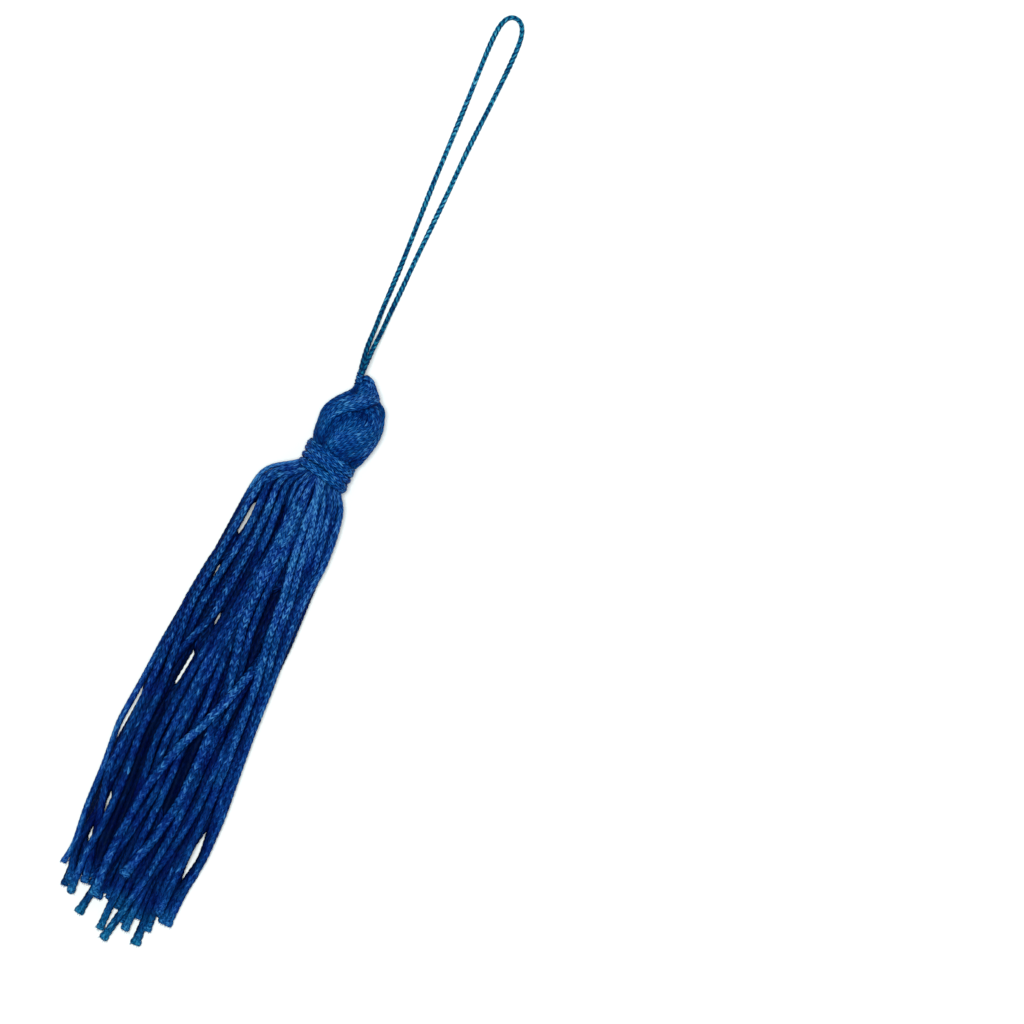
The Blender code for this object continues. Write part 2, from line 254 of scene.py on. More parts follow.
# %% Sizes of the cord and its stitches
CORD = 1.12  # mm across
STITCH = 0.85  # mm along the cord
WALES = 5  # columns of stitches round the cord
CORE = 0.80  # radius in a crease, as a share of the radius on a crown
SLANT = 0.78  # stitches that a leg climbs from its foot to its shoulder
SLANT_FADES_OVER = 2.0  # stitches, so that both ends are cut square
ROUNDING = 0.6  # power of the sine that is a stitch's profile: below 1 it is plumper
PINCH, PINCH_POWER = 0.5, 2.5  # how much a leg thins at its foot and its shoulder, and how late
FINE = (4, 2)  # grid rows in a stitch and grid columns in a leg, for cords that show
PLAIN = (3, 2)  # the same for cords under others
FLARE = 0.16  # how much a cut end opens
FLARE_LENGTH = 1.3  # mm
print(f"a stitch is {STITCH} mm long and {math.pi * CORD / WALES:.2f} mm wide")

# %% How cords differ
SIDE_TONE = 0.2  # tone on a cord's flanks, where its neighbours shade it, as a share of that on its face
LIT = (0.28, 0.78)  # cosines of the angles from its lit side at which its flanks and its face start
LEG_VARIES, STRAND_VARIES = 0.38, 0.12  # spread in tone from leg to leg and from strand to strand
TURN_VARIES, TWIST_VARIES = 0.3, 0.12  # radians
TWIST_OVER = 10  # mm in which a cord turns by its twist
STITCH_VARIES = (0.9, 1.1)  # from cord to cord, as a share
PATTERN = 100  # stitches, somewhere in which each cord starts, so that no two show the same filaments

Look = namedtuple("Look", "tone turn twist backwards")  # of one cord


def any_look(rng, tone):
    """A strand's own tone, the turn of its columns of stitches, its twist, and which way up it is."""
    own_tone = tone * np.exp(rng.normal(0, STRAND_VARIES))
    turn, twist = rng.normal(0, TURN_VARIES), rng.normal(0, TWIST_VARIES)
    return Look(own_tone, turn, twist, rng.random() < 0.5)


# %% The knitted cord itself
def knitted_cord(
    route,
    facing,
    width,
    look,
    rng,
    grid=FINE,
    wales=WALES,
    stitch=STITCH,
    flare=0.0,
    side_tone=SIDE_TONE,
    lit=LIT,
):
    """Skin of a knitted cord along a route.

    With row counted in stitches, and slope going from 0 at a V's foot to 1 at its shoulder:
    place = (row + SLANT * (slope - 1/2)) * stitch, and radius = width / 2 * (CORE + (1 - CORE) * lobe),
    where lobe = |sin(pi * row)| ** ROUNDING * (1 - PINCH * |2 * slope - 1| ** PINCH_POWER).
    """
    length = lengths_along(route)[-1]
    stitches = max(2, round(length / stitch))
    rows_each, columns_each = grid
    legs = 2 * wales
    row = np.arange(stitches * rows_each + 1) / rows_each
    leg = np.arange(legs * columns_each + 1) / columns_each
    slope = (1 - np.abs(1 - leg[:-1] % 2))[None, :]

    fade = np.clip(np.minimum(row, stitches - row) / SLANT_FADES_OVER, 0, 1)[:, None]
    climb = -SLANT if look.backwards else SLANT
    place = (row[:, None] + climb * (slope - 0.5) * fade) * length / stitches
    angle = leg[None, :-1] * 2 * math.pi / legs + look.turn + look.twist * place / TWIST_OVER
    profile = np.abs(np.sin(math.pi * row[:, None])) ** ROUNDING
    lobe = profile * (1 - PINCH * np.abs(2 * slope - 1) ** PINCH_POWER)
    opening = 1 + flare * ease(1 - (length - place) / FLARE_LENGTH)
    radii = spread_along(width, place, length) / 2 * opening * (CORE + (1 - CORE) * lobe)

    each = np.exp(rng.normal(0, LEG_VARIES, (stitches + 1, legs)))
    own = each[np.floor(row).astype(int)][:, np.floor(leg[:-1]).astype(int)]
    # painted shade on the flanks: the tone falls from the lit side down to side_tone
    flank_shade = side_tone + (1 - side_tone) * ease((np.cos(angle) - lit[0]) / (lit[1] - lit[0]))
    first_u, first_v = rng.uniform(0, PATTERN, 2)
    rings = carried(route, facing, place, angle, radii)
    # the lobe goes on as the crown attribute, from which the finish paints shade in the creases and a
    # highlight on the crowns
    return closed_tube(rings, leg + first_u, row + first_v, lobe, look.tone * own * flank_shade)


straight = np.column_stack([np.zeros(9), np.linspace(0, 10, 9), np.zeros(9)])
plain_look = Look(tone=0.5, turn=0.0, twist=0.0, backwards=False)
trial = knitted_cord(straight, np.tile(UP, (9, 1)), CORD, plain_look, np.random.default_rng(1))
print("10 mm of this cord:", len(trial.quads), "quads")

# %% Frayed ends
FILAMENT = 0.035  # mm, half across: a bundle of filaments, drawn coarser than the real 0.02 mm
FILAMENTS = 14  # at each cut end
FRAY = 0.6  # mm, the longest ...
FRAY_LENGTH = (0.45, 1.0)  # ... and the others' lengths as a share of it
FRAY_ROOT = 0.25  # mm inside the cord
FRAY_OUT = (0.15, 0.5)  # from the cord's middle, as a share of its width
FRAY_SPREAD = (0.0, 0.7)  # out for 1 on
FRAY_BOW = (-0.05, 0.08)  # mm
FRAY_TAPER = (1.0, 0.9, 0.35)
FRAY_CROWN = 0.8
FRAY_LOWEST = 0.3 * FILAMENT  # above the table


def frayed_end(route, facing, width, rng, tone):
    """Short fine filaments that stand out of a cord's cut end, each a tapered four-sided tube."""
    heading, end = unit(route[-1] - route[-3]), route[-1]
    side = unit(np.cross(heading, facing[-1]))
    up = np.cross(side, heading)
    angles = np.tile(np.arange(4) * math.pi / 2, (3, 1))
    radii = np.tile(FILAMENT * np.array(FRAY_TAPER)[:, None], 4)
    crown, tones = np.full((3, 4), FRAY_CROWN), np.full((3, 4), tone)
    skins = []
    for around in rng.uniform(0, 2 * math.pi, FILAMENTS):
        out = math.cos(around) * up + math.sin(around) * side
        root = end - FRAY_ROOT * heading + out * width * rng.uniform(*FRAY_OUT)
        way = unit(heading + out * rng.uniform(*FRAY_SPREAD))
        tip = root + way * FRAY * rng.uniform(*FRAY_LENGTH)
        bow = (root + tip) / 2 + out * rng.uniform(*FRAY_BOW)
        hair = np.array([root, bow, tip])
        places = np.tile(lengths_along(hair)[:, None], 4)
        aside = np.tile(out + 0.3 * up, (3, 1))  # any direction but the filament's own
        rings = carried(hair, aside, places, angles, radii)
        rings[..., 2] = np.maximum(rings[..., 2], FRAY_LOWEST)
        skins.append(closed_tube(rings, np.linspace(0, 1, 5), np.arange(3.0), crown, tones))
    return skins


# %% [markdown]
# ## The finish: silky viscose rayon
#
# Tassel cord is usually viscose rayon. Its smooth filaments give a soft shine along each leg of a stitch.
# The colour is painted with light and shade: painted shade makes the creases deep navy, and a painted
# highlight makes the crowns bright blue. One function makes the finish, and each part of the tassel gets
# its own blues from it.
#
# The colour follows an attribute that the mesh carries, 0 in a crease and 1 on a crown. The filaments are
# a noise that is stretched along the legs through the UV map, drawn about ten times coarser than real ones,
# which are too fine to show. They bump the surface, and their bright streaks in the colour are painted sheen.
# The loose cut ends have faded a little towards green, so the hue turns there.


# %% Colours and nodes
def linear(hex_colour):
    """An sRGB hex colour as linear red, green, blue and alpha."""
    srgb = np.array([int(hex_colour[i : i + 2], 16) for i in (0, 2, 4)]) / 255
    return (*np.where(srgb <= 0.04045, srgb / 12.92, ((srgb + 0.055) / 1.055) ** 2.4), 1.0)


def add(tree, kind, inputs=(), **settings):
    """Adds a node: settings are its properties, inputs are values or linked outputs by socket."""
    node = tree.nodes.new(kind)
    for key, value in settings.items():
        setattr(node, key, value)
    for socket, value in dict(inputs).items():
        if isinstance(value, bpy.types.NodeSocket):
            tree.links.new(value, node.inputs[socket])
        else:
            node.inputs[socket].default_value = value
    return node


# %% What the rayon looks like
RAYON_IOR = 1.53
RAYON_ROUGHNESS = 0.5  # a soft, silky shine
RAYON_GLOSS = 0.03  # little, because the crowns' bright blue already is the filaments' shine, as a painted highlight
GLOSS_TINT = "a9cdf5"
FILAMENTS_SHOWN = (1.1, 4.5, 1.0)  # along one leg and across the legs of one stitch
BLOTCH = 2.5  # mm, the size of uneven dyeing
CREST_POWER = 1.55  # the light keeps to the very crown
DEEP_LEVEL, BODY_LEVEL = 0.08, 0.4  # from 0 out of the light to 1 for the brightest blue
STREAK = {"From Min": 0.3, "From Max": 0.7, "To Min": 0.2, "To Max": 2.2}  # of dull and bright filaments, whose bright streaks are painted sheen
DYE = {"From Min": 0.35, "From Max": 0.65, "To Min": 0.494, "To Max": 0.506}  # of hue, where 0.5 is no turn
FADED = (-33.5, -40.0)  # y from where the loose cut ends turn greener, and where they are so
FADED_HUE = -0.04  # turns of the colour wheel
FILAMENT_BUMP, BUMP_STRENGTH = 0.04, 0.5  # mm, and its share
print(f"a streak of filaments is about {STITCH / FILAMENTS_SHOWN[1]:.2f} mm wide")


# %% The rayon finish
def rayon(name, shaded, deep, body, bright):
    """Knitted rayon cord in four blues of painted light and shade: out of the light, in a crease, on body and
    crowns.
    """
    finish = bpy.data.materials.new(name)
    finish.use_nodes = True
    tree = finish.node_tree
    shader = tree.nodes["Principled BSDF"]
    shader.inputs["IOR"].default_value = RAYON_IOR
    shader.inputs["Roughness"].default_value = RAYON_ROUGHNESS
    shader.inputs["Specular IOR Level"].default_value = RAYON_GLOSS
    shader.inputs["Specular Tint"].default_value = linear(GLOSS_TINT)

    crown = add(tree, "ShaderNodeAttribute", attribute_name="crown").outputs["Fac"]
    tone = add(tree, "ShaderNodeAttribute", attribute_name="tone").outputs["Fac"]
    where = add(tree, "ShaderNodeTexCoord")
    stretch = {"Vector": where.outputs["UV"], "Scale": FILAMENTS_SHOWN}
    stretched = add(tree, "ShaderNodeMapping", stretch).outputs["Vector"]
    fine = {"Vector": stretched, "Scale": 1.0, "Detail": 2.0}
    filaments = add(tree, "ShaderNodeTexNoise", fine, noise_dimensions="2D").outputs["Fac"]
    blotches = {"Vector": where.outputs["Object"], "Scale": 1 / (BLOTCH * MM), "Detail": 1.0}
    dye = add(tree, "ShaderNodeTexNoise", blotches).outputs["Fac"]

    # How bright a point is: a painted highlight on a crown and painted shade in a crease, more or less by the
    # strand's tone and the filaments' streaks
    crest = add(tree, "ShaderNodeMath", {0: crown, 1: CREST_POWER}, operation="POWER").outputs[0]
    toned = add(tree, "ShaderNodeMath", {0: crest, 1: tone}, operation="MULTIPLY").outputs[0]
    streaks = add(tree, "ShaderNodeMapRange", {"Value": filaments, **STREAK}).outputs["Result"]
    shone = {0: toned, 1: streaks}
    level = add(tree, "ShaderNodeMath", shone, operation="MULTIPLY", use_clamp=True).outputs[0]

    # The four blues, which uneven dyeing turns a little towards teal or violet
    blues = add(tree, "ShaderNodeValToRGB", {"Fac": level})
    blues.color_ramp.elements[0].color = linear(shaded)
    blues.color_ramp.elements[1].color = linear(bright)
    blues.color_ramp.elements.new(DEEP_LEVEL).color = linear(deep)
    blues.color_ramp.elements.new(BODY_LEVEL).color = linear(body)
    hue = add(tree, "ShaderNodeMapRange", {"Value": dye, **DYE}).outputs["Result"]
    height = add(tree, "ShaderNodeSeparateXYZ", {"Vector": where.outputs["Object"]}).outputs["Y"]
    fade = {"From Min": FADED[1] * MM, "From Max": FADED[0] * MM, "To Min": FADED_HUE, "To Max": 0.0}
    faded = add(tree, "ShaderNodeMapRange", {"Value": height, **fade}).outputs["Result"]
    hue = add(tree, "ShaderNodeMath", {0: hue, 1: faded}, operation="ADD").outputs[0]
    turned = {"Hue": hue, "Color": blues.outputs["Color"]}
    dyed = add(tree, "ShaderNodeHueSaturation", turned).outputs["Color"]
    tree.links.new(dyed, shader.inputs["Base Color"])

    relief = {"Height": filaments, "Strength": BUMP_STRENGTH, "Distance": FILAMENT_BUMP * MM}
    bump = add(tree, "ShaderNodeBump", relief).outputs["Normal"]
    tree.links.new(bump, shader.inputs["Normal"])
    return finish


# %% The rayon of each part
# the same cord in every part, in blues set lighter or darker for the painted light and shade there
SKIRT_RAYON = rayon("rayon_skirt", "000823", "01144b", "0a4088", "3e7db6")  # nearly black deep down
HEAD_RAYON = rayon("rayon_head", "011548", "012964", "0b4f96", "4684b8")  # wound close, with little shade
BINDING_RAYON = rayon("rayon_binding", "010f3c", "022663", "0c509a", "4488be")  # pulled taut, so it shines: painted sheen in lighter blues
KNOT_RAYON = rayon("rayon_knot", "010f3c", "021f58", "0c4b8e", "4488ba")
LOOP_RAYON = rayon("rayon_loop", "011a40", "02345e", "147598", "56aec6")  # a finer cord, a little greener
print("finishes:", [finish.name for finish in bpy.data.materials if finish.name.startswith("rayon")])

# %% [markdown]
# ## The hanging loop
#
# One fine cord leaves the knot, comes down to the table, runs round its far end and comes back. A curve with
# a round bevel would be quicker to make, but would lose the twist of its two plies, so it is a narrow cord
# with stitches like the others. It is made before the rest, because its place decides how much room the
# whole model takes.

# %% The loop's route, much like the construction model's
LOOP_CORD = 0.7  # mm across
LAID = LOOP_CORD / 2 + 0.02  # height of the cord's middle where it lies on the table
LOOP_ROUTE = (
    (0.95, 41.1, 3.65),
    (0.58, 43.7, 3.0),
    (0.47, 46.3, 1.9),
    (0.31, 48.9, 0.9),
    (0.22, 52.8, LAID),
    (0.09, 56.7, LAID),
    (-0.36, 65.8, LAID),
    (-0.56, 72.3, LAID),
    (-0.78, 78.8, LAID),
    (-1.05, 85.3, LAID),
    (-0.95, 88.6, LAID),
    (-0.40, 90.2, LAID),
    (0.55, 90.7, LAID),
    (1.60, 90.2, LAID),
    (2.25, 88.6, LAID),
    (2.40, 85.3, LAID),
    (2.20, 78.8, LAID),
    (1.90, 72.3, LAID),
    (1.82, 65.8, LAID),
    (1.57, 56.7, LAID),
    (1.51, 52.8, LAID),
    (1.42, 48.9, 0.9),
    (1.42, 46.3, 1.9),
    (1.33, 43.7, 3.15),
    (1.36, 41.1, 4.15),
)
LOOP_POINTS = 260
INTO_KNOT = ((1.2, 40.0, 3.7), (1.38, 40.0, 4.1))  # both ends run on inside the knot
print(len(LOOP_ROUTE), "points on the loop's route")

# %% Make the loop
LOOP_SEED = 5
LOOP_PLIES = 2  # drawn as two columns of stitches ...
LOOP_LOOK = Look(tone=0.5, turn=0.4, twist=1.4, backwards=False)  # ... that wind round each other
LOOP_STITCH = 0.75  # mm
LOOP_WIDTH = 1.04 * LOOP_CORD  # over the plies' crowns
LOOP_SIDE_TONE = 0.8  # it lies free, so its flanks are lit too
LOOP_TONE = ((40.5, 42.5, 50.0, 62.0), (0.3, 0.55, 0.7, 1.0))  # painted shade near the knot: y and its share

loop_rng = np.random.default_rng(LOOP_SEED)
loop_route = smooth_route([INTO_KNOT[0], *LOOP_ROUTE, INTO_KNOT[1]], LOOP_POINTS)
loop_route[:, 2] = np.maximum(loop_route[:, 2], LAID)
loop_facing = np.tile(UP, (LOOP_POINTS, 1))
loop_skin = knitted_cord(
    loop_route,
    loop_facing,
    LOOP_WIDTH,
    LOOP_LOOK,
    loop_rng,
    wales=LOOP_PLIES,
    stitch=LOOP_STITCH,
    side_tone=LOOP_SIDE_TONE,
)
loop_skin.tone[:] *= np.interp(loop_skin.points[:, 1], *LOOP_TONE)
loop = mesh_object("loop_cord", [loop_skin], LOOP_RAYON)
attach(loop, "root")
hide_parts("hanging_loop")

# %% [markdown]
# ## Laying out the skirt
#
# Seen from above, each strand that shows is followed from the neck to its cut end, as a short row of places
# across the tassel. A hair system could scatter strands, but would not lay each one where it belongs. The
# rows below are in the order in which the strands lie on each other, lowest first. Under them go the strands
# that do not show. They are spread out by rule, and part round the gaps where the table shows through.

# %% Strands that show
# x at the neck's edge and at the bend just below it, x at each height below, the cut end's x and y, the tone,
# and as shares the width of the cord and the tone that it keeps low down
HEIGHTS = (22.4, 19.0, 15.0, 10.0, 4.0, -2.0, -8.0, -14.0, -20.0, -26.0, -31.0)
Strand = namedtuple("Strand", "part neck bend places tip tone width slack", defaults=(1.0, 1.0))
SHOWN = (
    Strand("middle", 1.75, 1.45, (1.55, 1.8, 2.0, 1.8, 1.95, 2.85, 3.75, 4.4, 4.55, 3.5, 2.6),
           (1.8, -37.8), 0.5),
    Strand("right", 3.0, 3.8, (4.3, 4.95, 5.45, 6.35, 6.25, 6.0, 5.85, 5.6, 5.45, 4.8, 4.4),
           (4.8, -39.9), 0.45),
    Strand("left", -0.5, -2.3, (-4.95, -5.5, -5.85, -6.4, -7.0, -7.2, -7.0, -7.15, -7.95, -7.6, -6.9),
           (-6.85, -36.5), 0.4),
    Strand("left", -0.1, -2.2, (-3.85, -3.75, -3.85, -4.7, -5.4, -5.45, -6.3, -6.5, -7.15, -7.4, -7.0),
           (-6.6, -36.0), 0.42),
    Strand("left", 0.4, -0.9, (-1.6, -1.4, -1.2, -1.5, -2.0, -2.75, -3.3, -3.6, -2.95, -2.8, -3.2),
           (-2.9, -35.4), 0.5),
    Strand("right", 4.15, 4.8, (5.45, 5.85, 6.75, 6.85, 7.05, 6.9, 7.2, 7.65, 7.15, 6.05, 6.5),
           (6.3, -35.3), 0.45),
    Strand("right", 2.6, 3.25, (3.9, 4.55, 5.05, 5.2, 5.45, 5.2, 5.1, 5.1, 5.05, 4.3, 3.1),
           (2.75, -38.7), 0.5),
    Strand("right", 3.4, 4.15, (4.8, 5.45, 6.0, 5.85, 6.0, 6.55, 6.65, 6.1, 6.0, 5.45, 5.2),
           (5.45, -37.7), 0.5),
    Strand("middle", 0.65, -0.15, (-0.6, 0.05, -0.1, -0.85, -1.25, -1.7, -2.0, -2.35, -2.0, -2.1, -2.1),
           (-2.15, -36.4), 0.5),
    Strand("middle", 1.3, 1.05, (0.9, 0.8, 0.7, 0.25, -0.05, 0.25, 0.55, 0.1, 0.2, 0.0, -0.1),
           (-0.25, -39.8), 0.5),
    Strand("left", 0.15, -1.7, (-2.7, -2.5, -2.5, -2.9, -3.3, -5.35, -6.5, -6.7, -6.75, -6.85, -7.35),
           (-6.4, -35.6), 0.52),
    Strand("left", -1.4, -3.8, (-5.5, -5.9, -6.2, -6.6, -7.35, -8.0, -8.4, -8.95, -8.42, -8.25, -7.7),
           (-8.15, -33.8), 0.75, 0.8),
    Strand("left", -0.15, -1.55, (-4.3, -5.25, -5.6, -6.65, -7.35, -7.2, -7.25, -7.4, -7.65, -6.3, -5.2),
           (-4.5, -35.0), 0.52),
    Strand("left", -0.95, -2.95, (-4.7, -5.2, -5.55, -6.05, -6.6, -6.2, -5.65, -5.8, -5.3, -5.3, -5.85),
           (-5.7, -36.8), 0.5),
    Strand("middle", 1.05, 0.5, (0.25, 0.3, 0.2, -0.25, -0.45, -0.8, -1.15, -1.3, -0.7, -1.6, -2.4),
           (-3.65, -39.1), 0.5),
    Strand("right", 2.35, 2.6, (3.0, 3.25, 3.65, 4.15, 4.55, 4.3, 3.65, 3.4, 3.45, 3.2, 2.65),
           (0.65, -40.8), 0.55),
    Strand("middle", 1.45, 1.3, (1.15, 1.1, 1.1, 0.6, 0.65, 1.95, 2.5, 2.65, 2.6, 1.5, 0.05),
           (-0.35, -32.2), 0.8, 1.3),
    Strand("middle", 2.5, 2.75, (3.1, 3.5, 3.9, 4.55, 5.15, 3.95, 2.05, -0.5, -2.15, -2.7, -2.95),
           (-2.75, -36.0), 0.9, 1.25, 0.6),
    Strand("middle", 1.85, 2.1, (2.5, 2.7, 3.1, 3.95, 4.4, 5.35, 5.75, 6.05, 6.3, 6.2, 6.0),
           (6.0, -34.8), 0.6, 1.1, 0.7),
    Strand("right", 1.45, 2.2, (3.0, 3.75, 4.15, 4.95, 5.35, 6.4, 6.85, 7.05, 7.5, 8.2, 7.15),
           (6.8, -35.9), 0.55),
    Strand("right", 4.8, 5.6, (6.3, 6.75, 7.0, 6.5, 6.65, 7.15, 7.4, 7.85, 8.35, 8.4, 7.75),
           (7.55, -35.9), 0.6),
)
LEFT_EDGE, RIGHT_EDGE = 11, 20  # rows of the strands that make the skirt's outline

# %% From a row to a line across the skirt
NECK_CENTRE = np.array([2.1, 27.4, 3.6])
NECK_HALF = np.array([2.45, 1.65])  # of the bound strands inside the neck, across and in height
NECK_EDGE = (26.44, -0.2154, -1.56)  # the binding's lower edge: y at the last number's x, and its slope
ROOT_DRAWN_IN = 0.75  # how far the strands close up inside the binding
SHOULDER = 0.12  # how far the strands spring out below it, as a share of how far they spread
ROOT_INSIDE = 1.5  # mm from the binding's edge up to a strand's root ...
NECK_BELOW, BEND_BELOW = 0.2, 1.2  # ... and down to its places at the neck and at the bend
TIP_CLEAR = 1.0  # mm above its cut end in which a strand follows no other place
STEP = 0.25  # mm between the places where a strand's line is worked out
LINE = np.arange(-41.0, 29.0, STEP)  # y of those places
LINE_SOFTENING = 3  # steps


def neck_edge(x):
    """y of the binding's lower edge."""
    height, slope, start = NECK_EDGE
    return height + slope * (x - start)


def strand_line(neck, bend, places, tip):
    """x of a strand at each place of LINE, and not-a-number above its root and below its tip."""
    edge = neck_edge(neck)
    root = NECK_CENTRE[0] + ROOT_DRAWN_IN * (neck - NECK_CENTRE[0])
    rows = [(root, edge + ROOT_INSIDE), (neck, edge - NECK_BELOW), (bend, edge - BEND_BELOW)]
    spring = (bend + places[0]) / 2 + SHOULDER * (places[0] - neck)
    rows.append((spring, (edge - BEND_BELOW + HEIGHTS[0]) / 2))
    rows += [(x, y) for x, y in zip(places, HEIGHTS) if y > tip[1] + TIP_CLEAR] + [tip]
    across, heights = np.array(rows[::-1]).T
    inside = (LINE >= heights[0]) & (LINE <= heights[-1])
    line = np.full(len(LINE), np.nan)
    line[inside] = soften(np.interp(LINE[inside], heights, across), LINE_SOFTENING)
    return line


shown_lines = [strand_line(row.neck, row.bend, row.places, row.tip) for row in SHOWN]
print(len(shown_lines), "strands that show")

# %% [markdown]
# The strands below are laid in two layers. Each layer is spread evenly from edge to edge with a slow wander,
# then pushed off the gaps. A gap that goes right through is kept clear in both layers. Where the skirt only
# looks dark and deep, the upper of the two layers parts and the lower one runs on.

# %% Gaps, layers and the hem
Gap = namedtuple("Gap", "x half low high lean", defaults=(0.0,))  # lean: mm across for each mm up
THROUGH = (
    Gap(-4.68, 0.25, 15.6, 18.6, 0.12),
    Gap(-5.45, 0.08, 6.7, 9.5),
    Gap(-2.75, 0.14, 3.1, 3.6),
    Gap(-4.05, 0.16, -5.8, -2.4, 0.12),
    Gap(-8.28, 0.1, -16.0, -9.9, 0.09),
    Gap(-6.0, 0.2, -25.2, -23.8),
    Gap(-6.35, 0.16, -29.2, -28.2),
    Gap(6.25, 0.2, 19.9, 20.9),
    Gap(7.15, 0.4, -28.6, -24.0),
)
DEEP = (
    Gap(-0.75, 0.3, 16.5, 19.5),
    Gap(3.1, 0.7, -1.5, 9.0),
    Gap(4.0, 0.6, -9.5, -2.0),
    Gap(1.3, 0.5, -21.5, -11.7),
    Gap(-4.3, 1.0, -31.0, -12.0),
    Gap(-3.0, 0.4, -17.0, -11.5),
)
Layer = namedtuple("Layer", "count inset swing gaps")  # strands, and mm in from the edges and to and fro
LOWEST = Layer(20, 0.3, 0.07, THROUGH)
INNER = Layer(15, 0.9, 0.2, DEEP + THROUGH)
# The layers' edges, as in a row above: neck, bend, places and cut end
LAYER_LEFT = (-1.1, -3.3, SHOWN[LEFT_EDGE].places, (-7.4, -38.0))
LAYER_RIGHT = (4.5, 5.1, SHOWN[RIGHT_EDGE].places, (7.3, -38.0))
HEM = (  # x and y of where the strands underneath end, more or less
    (-9.5, -33.0),
    (-6.0, -34.4),
    (-4.6, -34.6),
    (-2.2, -35.8),
    (-0.5, -36.0),
    (1.0, -37.0),
    (3.8, -36.8),
    (5.6, -34.6),
    (8.0, -34.4),
)
HEM_UNEVEN = (-0.3, 1.0)  # mm higher
print(len(THROUGH), "gaps go through the skirt,", len(DEEP), "only look deep")

# %% Strands underneath
PARTING_EASE = 2.2  # mm over which a strand leans off a gap
SWING_LENGTH = 5.0  # mm
SWING_FROM, SWING_FULL = 24.0, 14.0  # y
UNDER_SEED = 11


def part_round(line, gap):
    """Pushes a strand's line sideways off a gap, easing in above and out below it."""
    near = ease((LINE - gap.low) / PARTING_EASE + 1) * ease((gap.high - LINE) / PARTING_EASE + 1)
    inside = (LINE > gap.low) & (LINE < gap.high)
    beside = line - gap.x - gap.lean * (LINE - (gap.low + gap.high) / 2)
    side = 1.0 if np.nanmean(beside[inside]) > 0 else -1.0
    push = np.clip(gap.half + CORD / 2 - side * beside, 0, None) * near
    return line + side * push


def slow_swing(rng, size):
    """A slow random swing of that size, in mm, at each place of LINE."""
    noise = uneven(rng, len(LINE), 1.0, int(SWING_LENGTH / STEP))
    swing = size * noise / noise.std()
    return swing * ease((SWING_FROM - LINE) / (SWING_FROM - SWING_FULL))


def under_layer(layer, rng):
    """Lines of evenly spread strands between the skirt's edges, with a slow swing, parted round the gaps."""
    left = strand_line(*LAYER_LEFT) + layer.inset
    right = strand_line(*LAYER_RIGHT) - layer.inset
    left[np.isnan(right)] = np.nan
    lines = []
    for share in (np.arange(layer.count) + 0.5) / layer.count:
        line = left + (right - left) * share + slow_swing(rng, layer.swing)
        for gap in layer.gaps:
            line = part_round(line, gap)
        line[LINE < np.interp(line, *np.array(HEM).T) + rng.uniform(*HEM_UNEVEN)] = np.nan
        lines.append(line)
    return np.array(lines)


under_rng = np.random.default_rng(UNDER_SEED)
lowest_lines = under_layer(LOWEST, under_rng)
inner_lines = under_layer(INNER, under_rng)
print(len(lowest_lines) + len(inner_lines), "strands under them")

# %% [markdown]
# ## Which strand lies on which
#
# A strand that crosses another has to lie over or under it. The strands that show are in their order, so the
# last lies on the skirt's upper face, and each strand before it sinks below every later one that it touches.
# Strands closer than TOUCH lie on each other, others lie side by side.

# %% Depth of the strands that show
TOUCH = 0.84  # mm between the middles of two strands
NECK_TOUCH = 0.36  # the same at the neck, where the strands are squeezed thin
THIN_FROM, THIN_TO = 18.0, 25.0  # y over which that happens
SINK = 0.9  # how much of a round cord's full height difference soft cords keep
DEEPEST = 2.2  # mm
DIP_SOFTENING = 5  # steps
DIP_AHEAD = 3  # steps that a stiff cord dips before and after what it passes under


def depths(lines):
    """How deep below the skirt's upper face each strand lies at each place of LINE; the last lies on top.

    Two strands whose lines are dx apart differ in height by SINK * sqrt(touch² - dx²).
    """
    deep = np.full(lines.shape, np.nan)
    touch = TOUCH + (NECK_TOUCH - TOUCH) * ease((LINE - THIN_FROM) / (THIN_TO - THIN_FROM))
    for number in range(len(lines) - 1, -1, -1):
        apart = np.abs(lines[number + 1 :] - lines[number])
        below = deep[number + 1 :] + SINK * np.sqrt(np.clip(touch**2 - apart**2, 0, None))
        passing = np.where(apart < touch, below, 0).max(axis=0, initial=0)
        inside = ~np.isnan(lines[number])
        held = np.pad(passing[inside], DIP_AHEAD, mode="edge")
        held = np.lib.stride_tricks.sliding_window_view(held, 2 * DIP_AHEAD + 1).max(axis=1)
        deep[number, inside] = np.clip(soften(held, DIP_SOFTENING), 0, DEEPEST)
    return deep


shown_lines = np.array(shown_lines)
shown_depths = depths(shown_lines)
print("mean depth of the shown strands, mm:", round(float(np.nanmean(shown_depths)), 2))

# %% Heights of all the strands
TOP = (  # y and the height of the skirt's upper face
    (28.4, 5.4),
    (26.0, 5.6),
    (24.6, 6.2),
    (22.4, 5.95),
    (16.0, 5.2),
    (4.0, 4.7),
    (-12.0, 4.3),
    (-26.0, 3.9),
    (-34.0, 2.9),
    (-41.0, 1.5),
)
EDGE_DROP = 0.5  # how much lower the skirt's edges lie than its middle, as a share of its height
EDGE_POWER = 3.0
# y and the inner strands' height there, as a share of the upper face's
INNER_HEIGHT = ((19.0, 22.5), (0.42, 0.6))

line_top = np.interp(LINE, *np.array(TOP[::-1]).T)
skirt_left, skirt_right = np.fmin.reduce(shown_lines), np.fmax.reduce(shown_lines)
skirt_middle, skirt_half = (skirt_left + skirt_right) / 2, (skirt_right - skirt_left) / 2 + CORD


def face_height(lines):
    """Height of a cord's middle that lies in the skirt's domed upper face."""
    outwards = np.abs((lines - skirt_middle) / skirt_half)
    return line_top * (1 - EDGE_DROP * outwards**EDGE_POWER) - CORD / 2


